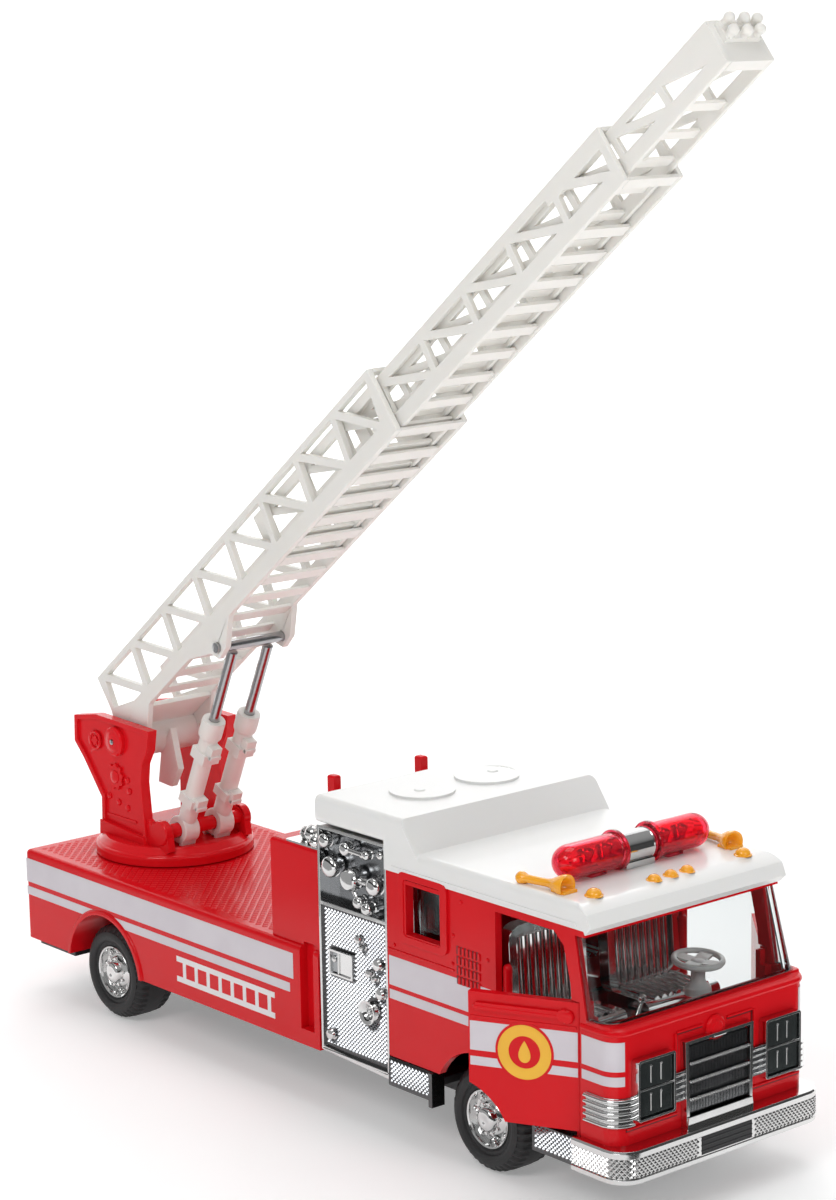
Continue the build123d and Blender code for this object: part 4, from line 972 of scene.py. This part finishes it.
tf = MB()
for s in (-1, 1):
    for x, y, z, r in ((66.8, 20.6, 54.9, 1.45), (70.2, 21.6, 55.6, 1.9), (72.8, 23.0, 54.8, 1.5), (73.4, 18.8, 55.4, 1.6), (69.0, 17.6, 54.8, 1.2)):
        tf.ball((x, s * y, z), r, 24, 14)
        tf.lathe((x, s * y, 53.45), (0, 0, 1), [(r * 0.8, 0), (r * 0.75, z - 53.45)], 18)
        tf.torus((x, s * y, z), (0, 0, 1), r * 0.98, 0.16, 24, 6)
    tf.prism(rounded(63.8, 75.0, *sorted((s * 16.0, s * 24.0)), 0.6), "z", 53.4, 53.75)
    tf.cyl((66.8, s * 20.6, 54.9), (73.4, s * 18.8, 55.2), 0.55, 12)
make("hose_couplings", tf, "chrome", "truck", smooth=45, replaces=("top_fittings",))

# ------------------------------------------------------------------ turntable mouldings
tm = MB()
out = [(-28.9, 61.9), (-20.4, 63.4), (0.0, 62.8), (-0.85, 58.2), (-2.9, 54.8), (-3.5, 50.5), (-2.9, 44.6), (-2.2, 37.4), (-19.2, 37.4), (-19.0, 44.6), (-25.7, 52.6), (-29.1, 55.9)]


def inset_poly(pts, d):
    n = len(pts)
    res = []
    area = sum(pts[i][0] * pts[(i + 1) % n][1] - pts[(i + 1) % n][0] * pts[i][1] for i in range(n))
    sg = 1 if area > 0 else -1
    for i in range(n):
        p0, p1, p2 = Vector(pts[i - 1]), Vector(pts[i]), Vector(pts[(i + 1) % n])
        e1, e2 = (p1 - p0).normalized(), (p2 - p1).normalized()
        n1, n2 = Vector((-e1.y, e1.x)) * sg, Vector((-e2.y, e2.x)) * sg
        b = (n1 + n2)
        b = b / max(0.3, b.dot(n1))
        q_ = p1 + b * d
        res.append((q_.x, q_.y))
    return res


def gear(mb, cx, cz, r, teeth, y0, y1, t=0.35):
    pts = []
    for k in range(teeth * 4):
        a = 2 * math.pi * (k + 0.5) / (teeth * 4)
        rr = r + (t if (k % 4) in (0, 1) else 0)
        pts.append((cx + rr * math.cos(a), cz + rr * math.sin(a)))
    mb.prism(pts, "y", y0, y1)


for s in (-1, 1):
    Y = lambda a, b: sorted((s * a, s * b))
    tm.frame_prism(out, inset_poly(out, 1.1), "y", *Y(11.3, 12.05))
    tm.lathe((-13.3, s * 11.3, 58.3), (0, s, 0), [(3.35, 0), (3.35, 1.0), (3.0, 1.3), (2.2, 1.3), (1.9, 1.45), (0.75, 1.45), (0.7, 1.3), (0, 1.3)], 40)
    tm.torus((-21.0, s * 11.8, 57.3), (0, 1, 0), 1.9, 0.34, 32, 8)
    gear(tm, -21.0, 57.3, 0.9, 6, *Y(11.3, 12.1))
    gear(tm, -13.6, 50.2, 2.5, 9, *Y(11.3, 12.0), t=0.55)
    tm.lathe((-13.6, s * 11.9, 50.2), (0, s, 0), [(1.5, 0), (1.5, 0.3), (0.8, 0.5), (0, 0.5)], 20)
    for x, z in ((-16.6, 45.2), (-13.0, 44.4), (-9.6, 43.6), (-8.8, 47.6), (-9.4, 50.0)):
        tm.lathe((x, s * 11.3, z), (0, s, 0), [(0.75, 0), (0.75, 0.35), (0.45, 0.55), (0, 0.6)], 14)
    tm.box(-17.6, -6.4, *Y(11.3, 11.7), 40.6, 41.2)
    # flared web joining the plate to the disc
    tm.prism([(-19.4, 36.2), (-19.2, 39.5), (-2.4, 38.2), (-2.0, 36.2)], "y", *Y(11.2, 12.6))
    # rounded ear for the foot rod
    tm.lathe((2.4, s * 9.8, 40.1), (0, s, 0), [(2.6, 0), (2.75, 0.2), (2.75, 1.75), (2.5, 2.0), (0, 2.05)], 28)
tm.lathe((-8.1, 0, 0), (0, 0, 1), [(17.4, 33.15), (17.68, 33.5), (17.6, 34.7), (17.2, 35.4), (16.5, 35.9), (16.0, 36.5), (15.5, 36.9), (14.8, 36.9), (14.8, 36.0), (16.4, 34.0)], 112, close=True)
make("turntable_mouldings", tm, "red_p", "turntable", bevel=0.18, smooth=40)
pe = MB()
for s in (-1, 1):
    pe.lathe((-13.3, s * 12.5, 58.3), (0, s, 0), [(0.62, 0), (0.62, 0.3), (0.4, 0.42), (0, 0.42)], 18)
make("pivot_pin_ends", pe, "steel", "turntable")

# ------------------------------------------------------------------ lift cylinder mouldings
lr = math.radians(65.371)
U, W = Vector((math.cos(lr), 0, math.sin(lr))), Vector((-math.sin(lr), 0, math.cos(lr)))
F0 = Vector((2.4, 0, 40.1))
cm = MB()
for s in (-1, 1):
    c = Vector((0, s * 4.75, 0))

    def at(a, b=0.0, y=0.0, c=c):
        return F0 + c + U * a + W * b + Vector((0, y, 0))
    cm.lathe(at(24.6), U, [(1.95, 0), (2.45, 0.35), (2.6, 0.9), (2.6, 4.3), (2.4, 4.75), (1.75, 4.8), (1.6, 4.4), (1.3, 4.4)], 40)
    cm.lathe(at(3.2), U, [(2.02, 0), (2.05, 21.5)], 36)
    # lugs on the front of the barrel
    for a, l in ((8.6, 1.3), (22.4, 1.5)):
        cm.obox(at(a, -2.1), U, W, (0, 1, 0), l, 1.5, 1.35)
        cm.obox(at(a - 0.9, -3.4), U, W, (0, 1, 0), 0.5, 0.5, 1.35)
    # clevis foot over the rod
    cm.lathe(F0 + c + Vector((0, -1.95, 0)), (0, 1, 0), [(1.72, 0), (3.1, 0.0), (3.15, 0.25), (3.15, 3.65), (3.1, 3.9), (1.72, 3.9)], 40)
    cm.obox(at(-2.6, 1.9), U, W, (0, 1, 0), 2.0, 0.5, 1.9)
    cm.obox(at(-2.6, -2.1), U, W, (0, 1, 0), 1.8, 0.5, 1.9)
make("cylinder_collars", cm, "ladder", "lift_cylinders", bevel=0.15, smooth=40)

# ------------------------------------------------------------------ floor, light and surroundings
def area(name, loc, target, size, power, col=(1, 1, 1), sy=None):
    l = bpy.data.lights.new(name, "AREA")
    l.shape = "RECTANGLE"
    l.size, l.size_y = size, sy or size
    l.energy, l.color = power, col
    o = bpy.data.objects.new(name, l)
    scn.collection.objects.link(o)
    o.location = loc
    o.rotation_euler = (Vector(target) - Vector(loc)).to_track_quat("-Z", "Y").to_euler()
    return o


def stage_sheet(name, pts, faces, col, rough, emit=0.0, grow=0.0):
    me = bpy.data.meshes.new(name)
    me.from_pydata(pts, [], faces)
    o = bpy.data.objects.new(name, me)
    scn.collection.objects.link(o)
    for p in me.polygons:
        p.use_smooth = True
    mt, nt_, b_ = new_mat(name + "_mat")
    b_.inputs["Base Color"].default_value = (*col, 1)
    b_.inputs["Roughness"].default_value = rough
    b_.inputs["Specular IOR Level"].default_value = 0.05
    if emit:
        b_.inputs["Emission Color"].default_value = (1, 1, 1, 1)
        b_.inputs["Emission Strength"].default_value = emit
    if grow:
        ge_ = nt_.nodes.new("ShaderNodeNewGeometry")
        ln_ = nt_.nodes.new("ShaderNodeVectorMath")
        ln_.operation = "LENGTH"
        mp_ = nt_.nodes.new("ShaderNodeMapRange")
        mp_.inputs["From Min"].default_value = 0.20
        mp_.inputs["From Max"].default_value = 0.60
        mp_.inputs["To Min"].default_value = emit
        mp_.inputs["To Max"].default_value = grow
        nt_.links.new(ge_.outputs["Position"], ln_.inputs[0])
        nt_.links.new(ln_.outputs["Value"], mp_.inputs["Value"])
        nt_.links.new(mp_.outputs["Result"], b_.inputs["Emission Strength"])
    me.materials.append(mt)
    return o


# white sweep: a floor that curves up behind the toy, seen along the camera's line
vdir = Vector((-back.x, -back.y, 0)).normalized()
side_v = Vector((vdir.y, -vdir.x, 0))
rows_ = [(-1.6, -0.0002)] + [(1.2, -0.0002)]
for k in range(1, 13):
    t = math.radians(90 * k / 12)
    rows_.append((1.2 + 0.9 * math.sin(t), 0.9 - 0.9 * math.cos(t) - 0.0002))
rows_.append((2.1, 2.6))
pts_ = []
for d_, z_ in rows_:
    for w_ in (-2.6, 2.6):
        q_ = vdir * d_ + side_v * w_
        pts_.append((q_.x, q_.y, z_))
faces_ = [(2 * i, 2 * i + 1, 2 * i + 3, 2 * i + 2) for i in range(len(rows_) - 1)]
stage_sheet("floor", pts_, faces_, (0.86, 0.86, 0.86), 0.8, emit=0.26, grow=0.85)


def card(name, c, n, hw, hh, col=(0.012, 0.012, 0.012), emit=0.0):
    # flat dark card beside the set, for the plated parts to reflect
    c, n = Vector(c), Vector(n).normalized()
    u_ = n.cross(Vector((0, 0, 1))).normalized()
    v_ = u_.cross(n)
    pts = [c + u_ * i * hw + v_ * j * hh for i, j in ((-1, -1), (1, -1), (1, 1), (-1, 1))]
    return stage_sheet(name, [tuple(p) for p in pts], [(0, 1, 2, 3)], col, 0.9, emit=emit)


for nm_, c_, n_, hw_, hh_, em_ in (("card_front", (0.128, 0.055, 0.036), (-1, 0, 0), 0.105, 0.042, 0.05), ("card_side", (-0.085, -0.115, 0.034), (0.35, 1, 0), 0.13, 0.040, 0.40), ("card_side_dark", (-0.085, -0.120, 0.095), (0.35, 1, 0), 0.13, 0.020, 0.0)):
    cd_ = card(nm_, c_, n_, hw_, hh_, emit=em_)
    cd_.visible_camera = False
    cd_.visible_diffuse = False
    cd_.visible_shadow = False
    cd_.visible_transmission = False
area("key", (0.30, -0.85, 0.80), (0, 0, 0.06), 0.50, 3.5, sy=0.40)
area("fill", (1.05, -0.10, 0.50), (0, 0, 0.06), 0.40, 2.1)
area("top", (-0.10, 0.15, 1.15), (0, 0, 0.05), 0.7, 3.7)
area("rim", (-0.75, 0.65, 0.75), (0, 0, 0.10), 0.4, 1.4)
w = bpy.data.worlds.new("studio")
scn.world = w
w.use_nodes = True
nt = w.node_tree
bg = nt.nodes["Background"]
tc = nt.nodes.new("ShaderNodeTexCoord")
sx = nt.nodes.new("ShaderNodeSeparateXYZ")
cr = nt.nodes.new("ShaderNodeValToRGB")
cr.color_ramp.elements[0].position = 0.0
cr.color_ramp.elements[0].color = (0.5, 0.5, 0.5, 1)
cr.color_ramp.elements[1].position = 1.0
cr.color_ramp.elements[1].color = (0.75, 0.75, 0.75, 1)
for p_, v_ in ((0.48, 0.5), (0.52, 0.10), (0.62, 0.08), (0.70, 0.40), (0.80, 0.60)):
    e = cr.color_ramp.elements.new(p_)
    e.color = (v_, v_, v_, 1)
mr = nt.nodes.new("ShaderNodeMapRange")
mr.inputs["From Min"].default_value = -1
nt.links.new(tc.outputs["Generated"], sx.inputs[0])
nt.links.new(sx.outputs["Z"], mr.inputs["Value"])
nt.links.new(mr.outputs["Result"], cr.inputs["Fac"])
nt.links.new(cr.outputs["Color"], bg.inputs["Color"])
bg.inputs["Strength"].default_value = 0.55
scn.view_settings.view_transform = "Standard"
scn.view_settings.look = "None"

bpy.context.view_layer.update()
